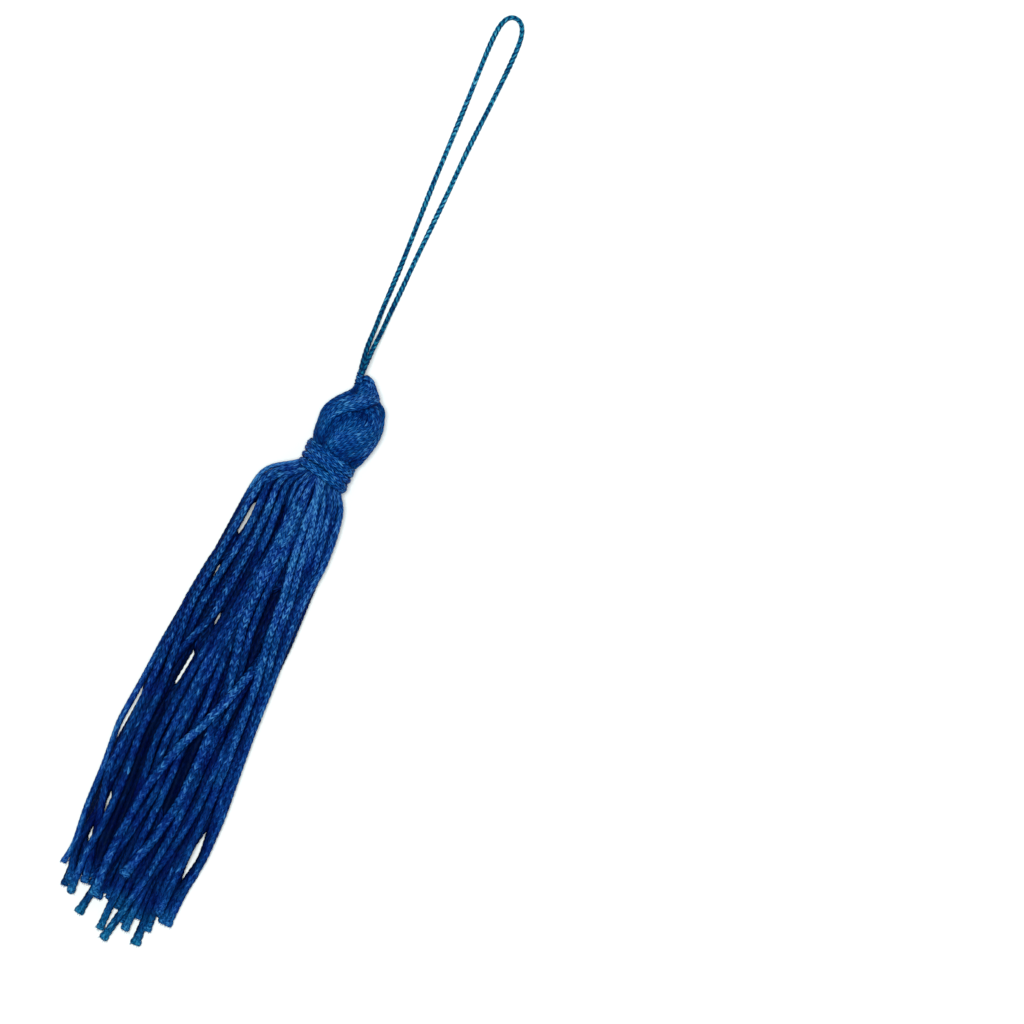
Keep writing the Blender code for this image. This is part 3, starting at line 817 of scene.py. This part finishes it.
all_lines = np.vstack([lowest_lines, inner_lines, shown_lines])
heights = np.vstack(
    [
        np.where(np.isnan(lowest_lines), np.nan, CORD / 2),
        np.interp(LINE, *INNER_HEIGHT) * face_height(inner_lines),
        face_height(shown_lines) - shown_depths,
    ]
)
heights = np.maximum(heights, CORD / 2)
all_depths = np.vstack([np.zeros((len(lowest_lines) + len(inner_lines), len(LINE))), shown_depths])
print(f"the skirt is {np.nanmax(heights) + CORD / 2:.1f} mm high")

# %% [markdown]
# Inside the binding the strands are squeezed into an oval. Each strand's height is blended there into its
# place in the oval: the lowest at the bottom, the shown ones near the top, in their own order.

# %% Into the neck
SQUEEZE_FROM, SQUEEZE_TO = 21.5, 26.3  # y where a strand starts to rise or sink to its place, and is there
OVAL_ENDS = 0.5  # mm that the oval is wider than the neck's inside
OVAL_ROUND = 0.9  # 1 for a full oval, less for one with some height at its ends
# Each layer's places in the oval, from -1 at its bottom to 1 at its top
LOWEST_PLACE, INNER_PLACES, SHOWN_PLACES = -1.0, (-0.5, 0.3), (0.45, 1.0)

layer_places = [np.full(LOWEST.count, LOWEST_PLACE), np.linspace(*INNER_PLACES, INNER.count)]
layer_places = np.concatenate([*layer_places, np.linspace(*SHOWN_PLACES, len(SHOWN))])


def into_neck(line, height, place):
    """A strand's height, blended into the oval of the neck."""
    across = np.clip((line - NECK_CENTRE[0]) / (NECK_HALF[0] + OVAL_ENDS), -1, 1)
    bound = NECK_CENTRE[2] + place * NECK_HALF[1] * np.sqrt(1 - across**2 * OVAL_ROUND)
    return height + (bound - height) * ease((LINE - SQUEEZE_FROM) / (SQUEEZE_TO - SQUEEZE_FROM))


print(len(layer_places), "strands go into the neck")

# %% [markdown]
# ## How bright a strand is
#
# Little light gets in between the strands of a real tassel. A strand is bright on the side that looks out of
# the skirt, dull on its flanks and almost black deep down, and there its stitches blur. Its lit side looks
# up, near the skirt's edges outwards too, and on the lowest strands down, so that the tassel is as good from
# below. Soft shadows alone would leave it too even, so the mesh carries all this as its tone, as painted
# light and shade. The loose cut ends spread, and each of them carries painted light.

# %% Which side is lit
LEAN_UP, LEAN_DOWN = 1.3, 3.5  # how far an edge strand's lit side leans outwards, for 1 up or 1 down
LEAN_POWER = 5  # only strands close to the edge lean
EDGE_FROM, EDGE_OVER = 0.7, 0.15  # where edge strands start and blend in, as shares of the skirt's half width


def lit_side(line, up):
    """Which way a strand's lit side looks: up or down, and outwards near the skirt's edges."""
    lean = LEAN_UP if up > 0 else LEAN_DOWN
    outwards = (line - skirt_middle) / skirt_half
    return unit(np.column_stack([lean * outwards**LEAN_POWER, np.zeros(len(line)), np.full(len(line), up)]))


def edge_strand(line):
    """1 for a strand that runs along the skirt's edge, 0 for one well inside it."""
    return ease((np.nanmean(np.abs(line - skirt_middle) / skirt_half) - EDGE_FROM) / EDGE_OVER)


print("edge strands:", sum(edge_strand(line) > 0.5 for line in shown_lines))

# %% Tones of the strands
LOWEST_TONE, HIDDEN_TONE = 0.45, 0.065  # the lowest strands', from below, and the painted shade on their hidden upper side
LIT_BELOW = (0.6, 0.95)  # they lie close together, so that their lit faces are narrower
# painted shade: the inner strands lie under those that show
INNER_TONE = 0.2
EDGE_SIDE_TONE = 0.25  # what the light from the side adds on a strand at the skirt's edge
# The skirt's tone falls towards the hem and rises near the neck: y and the share there
TONE_DOWN_THE_SKIRT = ((-36.0, -26.0, -2.0, 20.0), (0.8, 0.6, 0.77, 1.42))
LOW_TONE_FROM, LOW_TONE_TO = -11.0, -20.0  # y over which a strand's tone falls to its own low share
CLEAR = (0.6, 1.0)  # how clearly a strand's stitches show, at least and at most ...
CLEAR_BY_PLACE = ((-34.0, -20.0, 6.0, 20.0), (0.3, 0.5, 0.95, 0.82))  # ... times the share at this y
BLURRED_CROWN = 0.8  # the crown's height that blurred stitches have all over
TIP_LIT = 0.8  # how far a cut end takes on the painted light of the tips ...
TIP_TONE, TIP_LENGTH = 0.58, 3.0  # ... whose tone is this, over that many mm
DEPTH_SHADE = 0.6  # mm of depth over which painted shade takes a strand's tone down to 37 %
print(f"a strand 1 mm deep keeps {math.exp(-1 / DEPTH_SHADE):.0%} of its tone")

# %% One strand of the skirt
SQUEEZED = 0.6  # of its width, inside the binding
WIDTH_VARIES, WIDTH_STEPS = 0.12, 8  # along a strand, as a share, and softened over so many steps
ABOVE_TABLE = 0.01  # mm at least


def strand_skins(strand, line, height, deep, rng):
    """A skirt strand with its frayed cut end, from its root in the neck down to its tip."""
    grid = PLAIN if strand.part in ("lowest", "inner") else FINE
    up, side_tone, lit = 1.0, SIDE_TONE + EDGE_SIDE_TONE * edge_strand(line), LIT
    if strand.part == "lowest":
        up, side_tone, lit = -1.0, HIDDEN_TONE / strand.tone, LIT_BELOW
    inside = np.flatnonzero(~np.isnan(line))[::-1]
    route = np.column_stack([line[inside], LINE[inside], height[inside]])
    facing = lit_side(line, up)[inside]
    squeeze = ease((LINE[inside] - THIN_FROM) / (THIN_TO - THIN_FROM))
    thick = CORD * strand.width
    width = thick * (1 - (1 - SQUEEZED) * squeeze) * (1 + uneven(rng, len(route), WIDTH_VARIES, WIDTH_STEPS))
    look = any_look(rng, strand.tone)
    stitch = STITCH * rng.uniform(*STITCH_VARIES)
    cord = knitted_cord(route, facing, width, look, rng, grid, WALES, stitch, FLARE, side_tone, lit)
    down = cord.points[:, 1]
    # darker towards the hem, and for some strands darker still low down
    cord.tone[:] *= np.interp(down, *TONE_DOWN_THE_SKIRT)
    cord.tone[:] *= np.interp(down, (LOW_TONE_TO, LOW_TONE_FROM), (strand.slack, 1.0))
    # painted shade: the deeper a strand lies below the skirt's upper face, the darker it is
    cord.tone[:] *= np.interp(down, route[::-1, 1], np.exp(-deep[inside[::-1]] / DEPTH_SHADE))
    near_tip = TIP_LIT * ease(1 - (down - route[-1, 1]) / TIP_LENGTH)
    cord.tone[:] = cord.tone ** (1 - near_tip) * TIP_TONE**near_tip
    clear = rng.uniform(*CLEAR) * np.interp(down, *CLEAR_BY_PLACE)
    cord.crown[:] = BLURRED_CROWN + (cord.crown - BLURRED_CROWN) * clear
    cord.points[:, 2] = np.maximum(cord.points[:, 2], ABOVE_TABLE)
    return [cord, *frayed_end(route, facing, thick, rng, TIP_TONE)]


# %% Make the skirt
SKIRT_SEED = 23
skirt_rng = np.random.default_rng(SKIRT_SEED)
# A strand underneath has a part and a tone, but no row of its own
strands = [Strand("lowest", None, None, None, None, LOWEST_TONE)] * LOWEST.count
strands += [Strand("inner", None, None, None, None, INNER_TONE)] * INNER.count
strands += SHOWN
skirt_skins = {strand.part: [] for strand in strands}
for strand, line, height, deep, place in zip(strands, all_lines, heights, all_depths, layer_places):
    height = into_neck(line, height, place)
    skirt_skins[strand.part] += strand_skins(strand, line, height, deep, skirt_rng)
for part, skins in skirt_skins.items():
    piece = mesh_object(f"skirt_{part}", skins, SKIRT_RAYON)
    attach(piece, "root")
    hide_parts("skirt")

# %% [markdown]
# ## The head
#
# The ball is wound from the same cord: a broad wrap comes off the knot, crosses to the left and turns down
# to the neck, and other turns curl out from under it round a small hollow. A smooth ball with a knit pattern
# would be lighter, but nothing on it would overlap. Here each turn is a knitted cord whose route lies on the
# ball's surface. A route is drawn flat, as seen from above, and the ball's own formula lifts it onto the
# surface.

# %% The ball's surface
Section = namedtuple("Section", "y middle half_width tilt")  # mm, and degrees
BALL = (
    Section(27.6, 2.1, 2.6, 11.5),
    Section(28.5, 2.2, 3.05, 11.5),
    Section(29.5, 2.32, 3.62, 11.5),
    Section(30.6, 2.45, 3.95, 9.0),
    Section(32.0, 2.62, 4.17, 6.0),
    Section(33.3, 2.69, 4.32, 3.0),
    Section(34.6, 2.76, 4.19, 0.0),
    Section(35.8, 2.89, 3.7, 0.0),
    Section(36.6, 3.08, 3.26, 0.0),
    Section(37.2, 3.15, 2.8, 0.0),
    Section(37.9, 2.9, 2.0, 0.0),
    Section(38.5, 2.65, 1.6, 0.0),
    Section(39.2, 2.65, 1.05, 0.0),
    Section(39.9, 2.5, 0.75, 0.0),
    Section(40.5, 2.1, 0.4, 0.0),
)
HEAD_AXIS = 3.85  # height of the ball's middle above the table
HEAD_DEPTH = 8.0 / 8.6  # height of the ball as a share of its width
BALL_ROWS = 300
ball_rows = smooth_route(BALL, BALL_ROWS)
print(f"the ball is {2 * ball_rows[:, 2].max():.1f} mm wide")


def ball_section(station):
    """Middle, half width and tilt of the ball's section at this height on its axis."""
    middle, half, tilt = (np.interp(station, ball_rows[:, 0], ball_rows[:, column]) for column in (1, 2, 3))
    return middle, half, np.radians(tilt)


def ball_point(angle, station):
    """A point of the ball: station is a height on its axis, angle is 0 on top and pi/2 on the +X side.

    x = middle + half width * sin(angle), z = axis + half height * cos(angle), on a section that is tilted.
    """
    middle, half, tilt = ball_section(station)
    across = half * np.sin(angle)
    depth = half * HEAD_DEPTH * np.cos(angle)
    x, y = middle + across * np.cos(tilt), station - across * np.sin(tilt)
    return np.stack([x, y, HEAD_AXIS + depth], axis=-1)


def seen_from_above(x, y):
    """The angle and the station of the point of the ball's upper half that is seen at x and y."""
    station = y
    for _ in range(4):  # the tilt is small, so the station settles at once
        middle, half, tilt = ball_section(station)
        station = y + (x - middle) * np.tan(tilt)
    return np.arcsin(np.clip((x - middle) / half, -1, 1)), station


def on_ball(angles, stations, sunk):
    """Route and outward directions on the ball, sunk below its surface by that many mm."""
    small = 1e-3
    points = ball_point(angles, stations)
    round_it = ball_point(angles + small, stations) - points
    along_it = ball_point(angles, stations + small) - points
    outwards = unit(np.cross(round_it, along_it))
    return points - outwards * np.reshape(sunk, (-1, 1)), outwards


# %% Hollows and shine of the ball
Hollow = namedtuple("Hollow", "x y across along depth")  # mm: its middle, its reach both ways, its depth
HOLLOWS = (
    Hollow(3.9, 35.4, 0.9, 1.1, 0.35),  # the small hollow under the wrap's lower edge ...
    Hollow(3.3, 35.7, 0.4, 0.5, 0.35),  # ... its deepest place ...
    Hollow(4.1, 36.8, 0.4, 0.4, 0.4),  # ... its upper end ...
    Hollow(2.5, 35.0, 0.4, 0.5, 0.2),  # ... and its lower end
    Hollow(1.6, 33.6, 0.3, 0.6, 0.35),  # the crease that runs on from it ...
    Hollow(1.05, 32.3, 0.28, 0.7, 0.35),
    Hollow(0.75, 31.0, 0.28, 0.8, 0.35),
    Hollow(0.4, 29.4, 0.5, 1.0, 0.5),  # ... to the binding
    Hollow(4.8, 29.3, 0.9, 0.7, 0.4),  # where the right side goes into the binding
    Hollow(1.5, 37.9, 0.5, 0.6, 0.85),  # beside the knot
)
HOLLOW_SHADE = 2.6  # per mm of sinking, how fast painted shade darkens the tone in the hollows
SIDE_SHADE = (1.6, -0.2, 0.45)  # to the left: x where it starts and is full, and how dark it gets
HEAD_SHINE = ((29.0, 31.5, 33.0, 36.5, 38.0), (0.65, 0.85, 1.0, 1.0, 0.84))  # y and the share of light there
UPPER = 1.5  # mm above the ball's axis over which hollows, shade and shine set in


def hollow(points):
    """How far the wound surface is sunk at these points of its upper half, mm: a sum of bell shapes."""
    x, y = points[:, 0], points[:, 1]
    sunk = sum(
        dip.depth * np.exp(-(((x - dip.x) / dip.across) ** 2) - ((y - dip.y) / dip.along) ** 2)
        for dip in HOLLOWS
    )
    return sunk * ease((points[:, 2] - HEAD_AXIS) / UPPER)


def shine(points):
    """The share of light that each point of the ball's upper half keeps, less at the left and both ends."""
    start, full, most = SIDE_SHADE
    left = most * ease((points[:, 0] - start) / (full - start))
    kept = (1 - left) * np.interp(points[:, 1], *HEAD_SHINE)
    return 1 + (kept - 1) * ease((points[:, 2] - HEAD_AXIS) / UPPER)


print(len(HOLLOWS), "hollows in the ball")

# %% Laying a cord on the ball
HEAD_CORD = 0.86  # mm: pulled tight, the cord is thinner than in the skirt ...
HEAD_STITCH = 0.9  # ... and its stitches are longer
HEAD_TWIST_VARIES = 0.15  # radians
BALL_ROUTE_POINTS = 120
ANGLE_SCALE = 4.0  # mm of the ball's surface in a radian, so that a route is drawn in even units


def ball_cord(angles, stations, sunk, rng, tone, width=HEAD_CORD):
    """A knitted cord through these angles and stations of the ball; sunk may change along it."""
    chart = np.column_stack([np.multiply(angles, ANGLE_SCALE), stations, np.zeros(len(angles))])
    chart = smooth_route(chart, BALL_ROUTE_POINTS)
    depth = spread_along(sunk, np.linspace(0, 1, BALL_ROUTE_POINTS), 1)
    route, facing = on_ball(chart[:, 0] / ANGLE_SCALE, chart[:, 1], depth)
    route = route - facing * hollow(route)[:, None]
    look = any_look(rng, tone)._replace(twist=rng.normal(0, HEAD_TWIST_VARIES))
    stitch = HEAD_STITCH * rng.uniform(*STITCH_VARIES)
    cord = knitted_cord(route, facing, width, look, rng, stitch=stitch)
    # painted shade in the hollows, and painted light and shade by place on the ball
    cord.tone[:] *= np.exp(-HOLLOW_SHADE * hollow(cord.points)) * shine(cord.points)
    return cord


def drawn_cord(points, sunk, rng, tone):
    """A knitted cord on the ball's upper half, drawn flat as a row of x and y."""
    angles, stations = seen_from_above(*points.T)
    return ball_cord(angles, stations, sunk, rng, tone)


def between(rows, share):
    """A row of points part of the way from the first of several rows to the last."""
    rows = np.array(rows)
    position = share * (len(rows) - 1)
    low = min(int(position), len(rows) - 2)
    return rows[low] + (rows[low + 1] - rows[low]) * (position - low)


# %% Rows of turns on the ball
# Each kind of turn is drawn as a few rows of x and y, from the knot to the neck. Its cords are spread evenly
# between them, sunk below the ball's surface by so many mm from start to end.
Turns = namedtuple("Turns", "cords sunk tone rows")
DOWN_LEFT = Turns(
    cords=5,
    sunk=(0.8, 0.55, 0.4, 0.6),
    tone=0.5,
    rows=(
        ((1.3, 35.0), (0.7, 33.5), (0.4, 31.6), (0.3, 29.0)),
        ((2.1, 35.4), (1.6, 33.8), (1.0, 31.8), (0.5, 29.0)),
        ((2.9, 35.6), (2.4, 34.2), (1.7, 32.4), (0.8, 29.2)),
        ((3.4, 36.6), (3.2, 35.2), (2.5, 33.6), (1.2, 30.2)),
        ((4.4, 36.7), (4.3, 35.4), (3.8, 34.0), (2.5, 31.2)),
    ),
)
SHOULDER_LEFT = Turns(
    cords=2,
    sunk=0.6,
    tone=0.46,
    rows=(
        ((1.7, 38.6), (1.2, 37.9), (0.55, 36.9), (-0.3, 35.8),
         (-1.05, 34.6), (-1.45, 33.2), (-1.35, 31.4), (-1.0, 28.9)),
        ((1.9, 39.0), (1.3, 38.4), (0.7, 37.6), (-0.1, 36.4),
         (-0.8, 35.0), (-1.15, 33.4), (-1.1, 31.5), (-0.7, 28.9)),
    ),
)
CURL = Turns(
    cords=10,
    sunk=(1.0, 0.75, 0.5, 0.42, 0.42, 0.5, 0.9),
    tone=0.6,
    rows=(
        ((3.7, 35.3), (4.0, 34.9), (3.6, 34.2), (2.75, 33.3), (2.1, 32.1), (1.45, 30.9), (0.75, 29.2)),
        ((4.15, 36.7), (5.2, 35.75), (5.3, 34.6), (4.3, 33.3), (3.0, 32.0), (1.8, 30.7), (0.8, 28.9)),
        ((4.4, 37.4), (5.85, 36.3), (6.4, 34.6), (5.7, 33.0), (4.3, 31.5), (3.0, 30.2), (1.8, 28.4)),
        ((4.7, 37.8), (6.4, 36.5), (6.95, 34.3), (6.75, 32.5), (5.7, 30.9), (4.5, 29.5), (3.6, 28.0)),
        ((4.9, 37.8), (6.6, 36.3), (7.15, 34.0), (7.1, 32.0), (6.5, 30.4), (6.0, 29.2), (5.4, 27.7)),
    ),
)
WRAP = Turns(
    cords=5,
    sunk=(0.3, 0.2, 0.05, 0.0, 0.0, 0.2, 0.5, 0.9),
    tone=0.7,
    rows=(
        ((1.9, 40.15), (2.1, 39.9), (2.4, 39.5), (2.25, 38.9), (1.8, 38.15), (1.2, 37.35),
         (0.42, 36.4), (-0.58, 35.1), (-1.1, 33.6), (-1.12, 31.8), (-0.5, 28.9)),
        ((2.6, 40.05), (3.25, 39.6), (3.92, 38.8), (4.5, 38.1), (4.15, 37.3), (3.5, 36.6),
         (2.6, 35.8), (1.45, 35.1), (0.3, 33.8), (-0.2, 32.0), (-0.1, 29.0)),
    ),
)
print("turns on the upper half:", sum(turns.cords for turns in (DOWN_LEFT, SHOULDER_LEFT, CURL, WRAP)))

# %% Make the turns
HEAD_SEED = 31
BACK_CORDS = 20  # round the sides and the underside ...
BACK_FROM, BACK_TO = 78, 284  # ... between these degrees from the top ...
BACK_STATIONS = (39.6, 37.0, 33.6, 31.0, 28.0)  # ... from the knot to the neck ...
BACK_LEAN = (0, 6, 12, 16, 20)  # ... turning on by so many degrees
BACK_CORD, BACK_TONE = 0.95, 0.5
BACK_SUNK, BELLY_SUNK = 0.45, 0.24  # mm, and how much more where the ball lies on the table, a little flat

head_rng = np.random.default_rng(HEAD_SEED)
head_skins = []
for turns in (DOWN_LEFT, SHOULDER_LEFT, CURL, WRAP):
    for share in np.linspace(0, 1, turns.cords):
        head_skins.append(drawn_cord(between(turns.rows, share), turns.sunk, head_rng, turns.tone))
for turn in np.linspace(math.radians(BACK_FROM), math.radians(BACK_TO), BACK_CORDS):
    angles = turn + np.radians(BACK_LEAN)
    sunk = BACK_SUNK + BELLY_SUNK * max(-math.cos(turn), 0)
    head_skins.append(ball_cord(angles, BACK_STATIONS, sunk, head_rng, BACK_TONE, BACK_CORD))
print(len(head_skins), "cords on the ball")

# %% The stuffing under the turns
STUFFING_SUNK = 1.0  # mm below the ball's surface
STUFFING_FROM, STUFFING_TO = 27.8, 39.5  # stations
STUFFING_THIN = 0.15  # of the ball's width, at the least
STUFFING_RINGS, STUFFING_SIDES = 30, 48
STUFFING_SHADE_TONE = 0.1

stations = np.linspace(STUFFING_FROM, STUFFING_TO, STUFFING_RINGS)
angles = np.linspace(0, -2 * math.pi, STUFFING_SIDES, endpoint=False)
rings = ball_point(angles[None, :], stations[:, None])
middles = rings.mean(axis=1, keepdims=True)
reach = np.linalg.norm(rings - middles, axis=2, keepdims=True)
rings = middles + (rings - middles) * (1 - STUFFING_SUNK / reach).clip(STUFFING_THIN)
# painted shade: the stuffing is drawn near black, where the gaps between the turns are in shade
dark = np.full(rings.shape[:2], STUFFING_SHADE_TONE)
stuffing_u, stuffing_v = np.linspace(0, 20, STUFFING_SIDES + 1), np.arange(float(STUFFING_RINGS))
head_skins.append(closed_tube(rings, stuffing_u, stuffing_v, dark, dark))

head = mesh_object("head_turns", head_skins, HEAD_RAYON)
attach(head, "root")
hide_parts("head")

# %% [markdown]
# ## The neck binding
#
# Under the ball the cord goes about five times tightly round the neck, lower on the right than on the left,
# and a last half turn crosses over the others. A ring for each turn would be simpler, but would look made by
# a machine. The cord's route is a helix on an oval, and a little uneven, because it is wound by hand.

# %% Round the neck
NECK_OUTER = np.array([3.75, 2.95])  # half the neck's width and height over the binding
NECK_TILT = math.radians(11.5)
BINDING_CORD = 0.95  # mm across
tilted_across = np.array([math.cos(NECK_TILT), -math.sin(NECK_TILT), 0.0])
up_the_neck = np.array([0.04, 1.0, 0.0])


def round_neck(angle, rise, proud):
    """Route and outward directions of a turn round the neck's oval, proud of it by that many mm."""
    radial = (NECK_OUTER - BINDING_CORD / 2)[:, None] + proud
    route = (
        NECK_CENTRE
        + rise[:, None] * up_the_neck
        + (radial[0] * np.sin(angle))[:, None] * tilted_across
        + (radial[1] * np.cos(angle))[:, None] * UP
    )
    across, upwards = np.sin(angle) / radial[0], np.cos(angle) / radial[1]
    return route, unit(across[:, None] * tilted_across + upwards[:, None] * UP)


print(f"the binding leans {math.degrees(NECK_TILT):.1f} degrees")

# %% Turns of the binding
BINDING_SEED = 41
BINDING_TURNS = 5.2
BINDING_START = math.radians(200)
BINDING_STACK = (-1.5, -1.4, -0.75, 0.0, 0.75, 1.35, 1.5)  # mm up the neck from its middle, turn by turn
STACK_STEPS = 15  # over which one turn climbs to the next
BINDING_POINTS = 420
BINDING_RISE, BINDING_PROUD = (0.35, 10), (0.2, 8)  # unevenness: mm, and softened over so many steps
BINDING_LOOK = Look(tone=0.56, turn=0.3, twist=0.25, backwards=False)
CROSSING_POINTS = 90
CROSSING_FROM, CROSSING_ROUND = -100, 205  # degrees, from the upper left to the lower right
CROSSING_HIGH, CROSSING_DOWN = 1.25, 2.5  # mm up the neck where it starts, and how far it comes down
CROSSING_PROUD = 0.32  # mm, halfway
print(BINDING_TURNS, "turns and one across them")

# %% Make the neck binding
binding_rng = np.random.default_rng(BINDING_SEED)
turn = np.linspace(0, BINDING_TURNS, BINDING_POINTS)
stack = spread_along(BINDING_STACK, turn, BINDING_TURNS)
rise = soften(stack, STACK_STEPS) + uneven(binding_rng, BINDING_POINTS, *BINDING_RISE)
proud = uneven(binding_rng, BINDING_POINTS, *BINDING_PROUD)
wound = round_neck(BINDING_START + turn * 2 * math.pi, rise, proud)
crossing = np.linspace(0, 1, CROSSING_POINTS)
last = round_neck(
    np.radians(CROSSING_FROM + CROSSING_ROUND * crossing),
    CROSSING_HIGH - CROSSING_DOWN * ease(crossing),
    CROSSING_PROUD * np.sin(math.pi * crossing),
)
binding_skins = [
    knitted_cord(route, outwards, BINDING_CORD, BINDING_LOOK, binding_rng, stitch=HEAD_STITCH)
    for route, outwards in (wound, last)
]
binding = mesh_object("neck_turns", binding_skins, BINDING_RAYON)
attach(binding, "root")
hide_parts("neck_binding")

# %% [markdown]
# ## The knot
#
# Between the loop and the ball a fine cord is wrapped three times and pulled tight, and a thicker turn
# arches from it over to the right, where it becomes the ball's broad wrap. A truly tied knot would look no
# different at this size, so its turns are simply wound.

# %% Sizes of the knot
KNOT_SEED = 53
KNOT_MIDDLE = np.array([1.35, 39.4, 3.95])
KNOT_HALF = 0.8  # mm, half its length
KNOT_REACH = (0.3, 0.5)  # mm from its middle to the cord's, across and in height
KNOT_CORD, KNOT_STITCH = 0.56, 0.7  # mm
KNOT_TURNS = 3.3
KNOT_START = math.radians(150)
KNOT_POINTS = 200
KNOT_LOOK = Look(tone=0.45, turn=0.0, twist=0.4, backwards=False)
# The thicker turn: its route, size and tone
ARCH = ((1.5, 39.0, 4.3), (1.8, 39.75, 4.6), (2.25, 39.85, 4.75), (2.6, 39.35, 4.8), (2.5, 38.9, 4.7))
ARCH_POINTS = 60
ARCH_CORD, ARCH_STITCH = 0.7, 0.8  # mm
ARCH_TONE = 0.45
SMALL_WALES = 2  # columns of stitches on these fine cords
print(f"the knot is {2 * KNOT_HALF + KNOT_CORD:.1f} mm long")

# %% Make the knot
knot_rng = np.random.default_rng(KNOT_SEED)
knot_along, knot_across = np.array([-0.15, 1.0, 0.0]), np.array([1.0, -0.15, 0.0])
turn = np.linspace(0, 1, KNOT_POINTS)
angle = KNOT_START + turn * KNOT_TURNS * 2 * math.pi
route = (
    KNOT_MIDDLE
    + (KNOT_HALF * (1 - 2 * turn))[:, None] * knot_along
    + (KNOT_REACH[0] * np.sin(angle))[:, None] * knot_across
    + (KNOT_REACH[1] * np.cos(angle))[:, None] * UP
)
outwards = unit(np.column_stack([np.sin(angle), np.zeros(KNOT_POINTS), np.cos(angle)]))
arch, arch_facing = smooth_route(ARCH, ARCH_POINTS), np.tile(UP, (ARCH_POINTS, 1))
wraps = knitted_cord(
    route, outwards, KNOT_CORD, KNOT_LOOK, knot_rng, wales=SMALL_WALES, stitch=KNOT_STITCH
)
arch_look = any_look(knot_rng, ARCH_TONE)
arched = knitted_cord(
    arch, arch_facing, ARCH_CORD, arch_look, knot_rng, wales=SMALL_WALES, stitch=ARCH_STITCH
)
knot_skins = [wraps, arched]
knot = mesh_object("knot_turns", knot_skins, KNOT_RAYON)
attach(knot, "root")
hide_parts("top_knot")

# %% [markdown]
# ## Table and light
#
# The tassel is shown on a plain white table in soft studio light. A white sky lights it evenly from all
# sides, and one broad lamp almost straight above gives the stitches a little form.

# %% Table
TABLE_HALF = 3.0  # metres
table_mesh = bpy.data.meshes.new("table")
corners = TABLE_HALF * np.array([(-1, -1, 0), (1, -1, 0), (1, 1, 0), (-1, 1, 0)])
table_mesh.from_pydata(corners, [], [(0, 1, 2, 3)])
table = bpy.data.objects.new("table", table_mesh)
bpy.context.scene.collection.objects.link(table)
white = bpy.data.materials.new("white_board")
white.use_nodes = True
board = white.node_tree.nodes["Principled BSDF"].inputs  # matt painted board
board["Base Color"].default_value = linear("edf4f3")
board["Roughness"].default_value = 0.9
board["Specular IOR Level"].default_value = 0.1
table_mesh.materials.append(white)
print("table", 2 * TABLE_HALF, "m wide")

# %% Light
SKY = 0.35
KEY_POWER = 22.0  # watts
KEY_SIZE = 0.4  # metres
KEY_FROM = np.array([-0.02, 0.05, 1.5])  # metres
world = bpy.data.worlds.new("sky")
world.use_nodes = True
background = world.node_tree.nodes["Background"].inputs
background["Color"].default_value = linear("ffffff")
background["Strength"].default_value = SKY
bpy.context.scene.world = world
key_data = bpy.data.lights.new("key", "AREA")
key_data.shape = "DISK"
key_data.size = KEY_SIZE
key_data.energy = KEY_POWER
key = bpy.data.objects.new("key", key_data)
key.location = KEY_FROM
key.rotation_euler = Vector(-KEY_FROM).to_track_quat("-Z", "Y").to_euler()
bpy.context.scene.collection.objects.link(key)
bpy.context.scene.view_settings.view_transform = "Standard"
print("sky", SKY, "and a lamp of", KEY_POWER, "W")
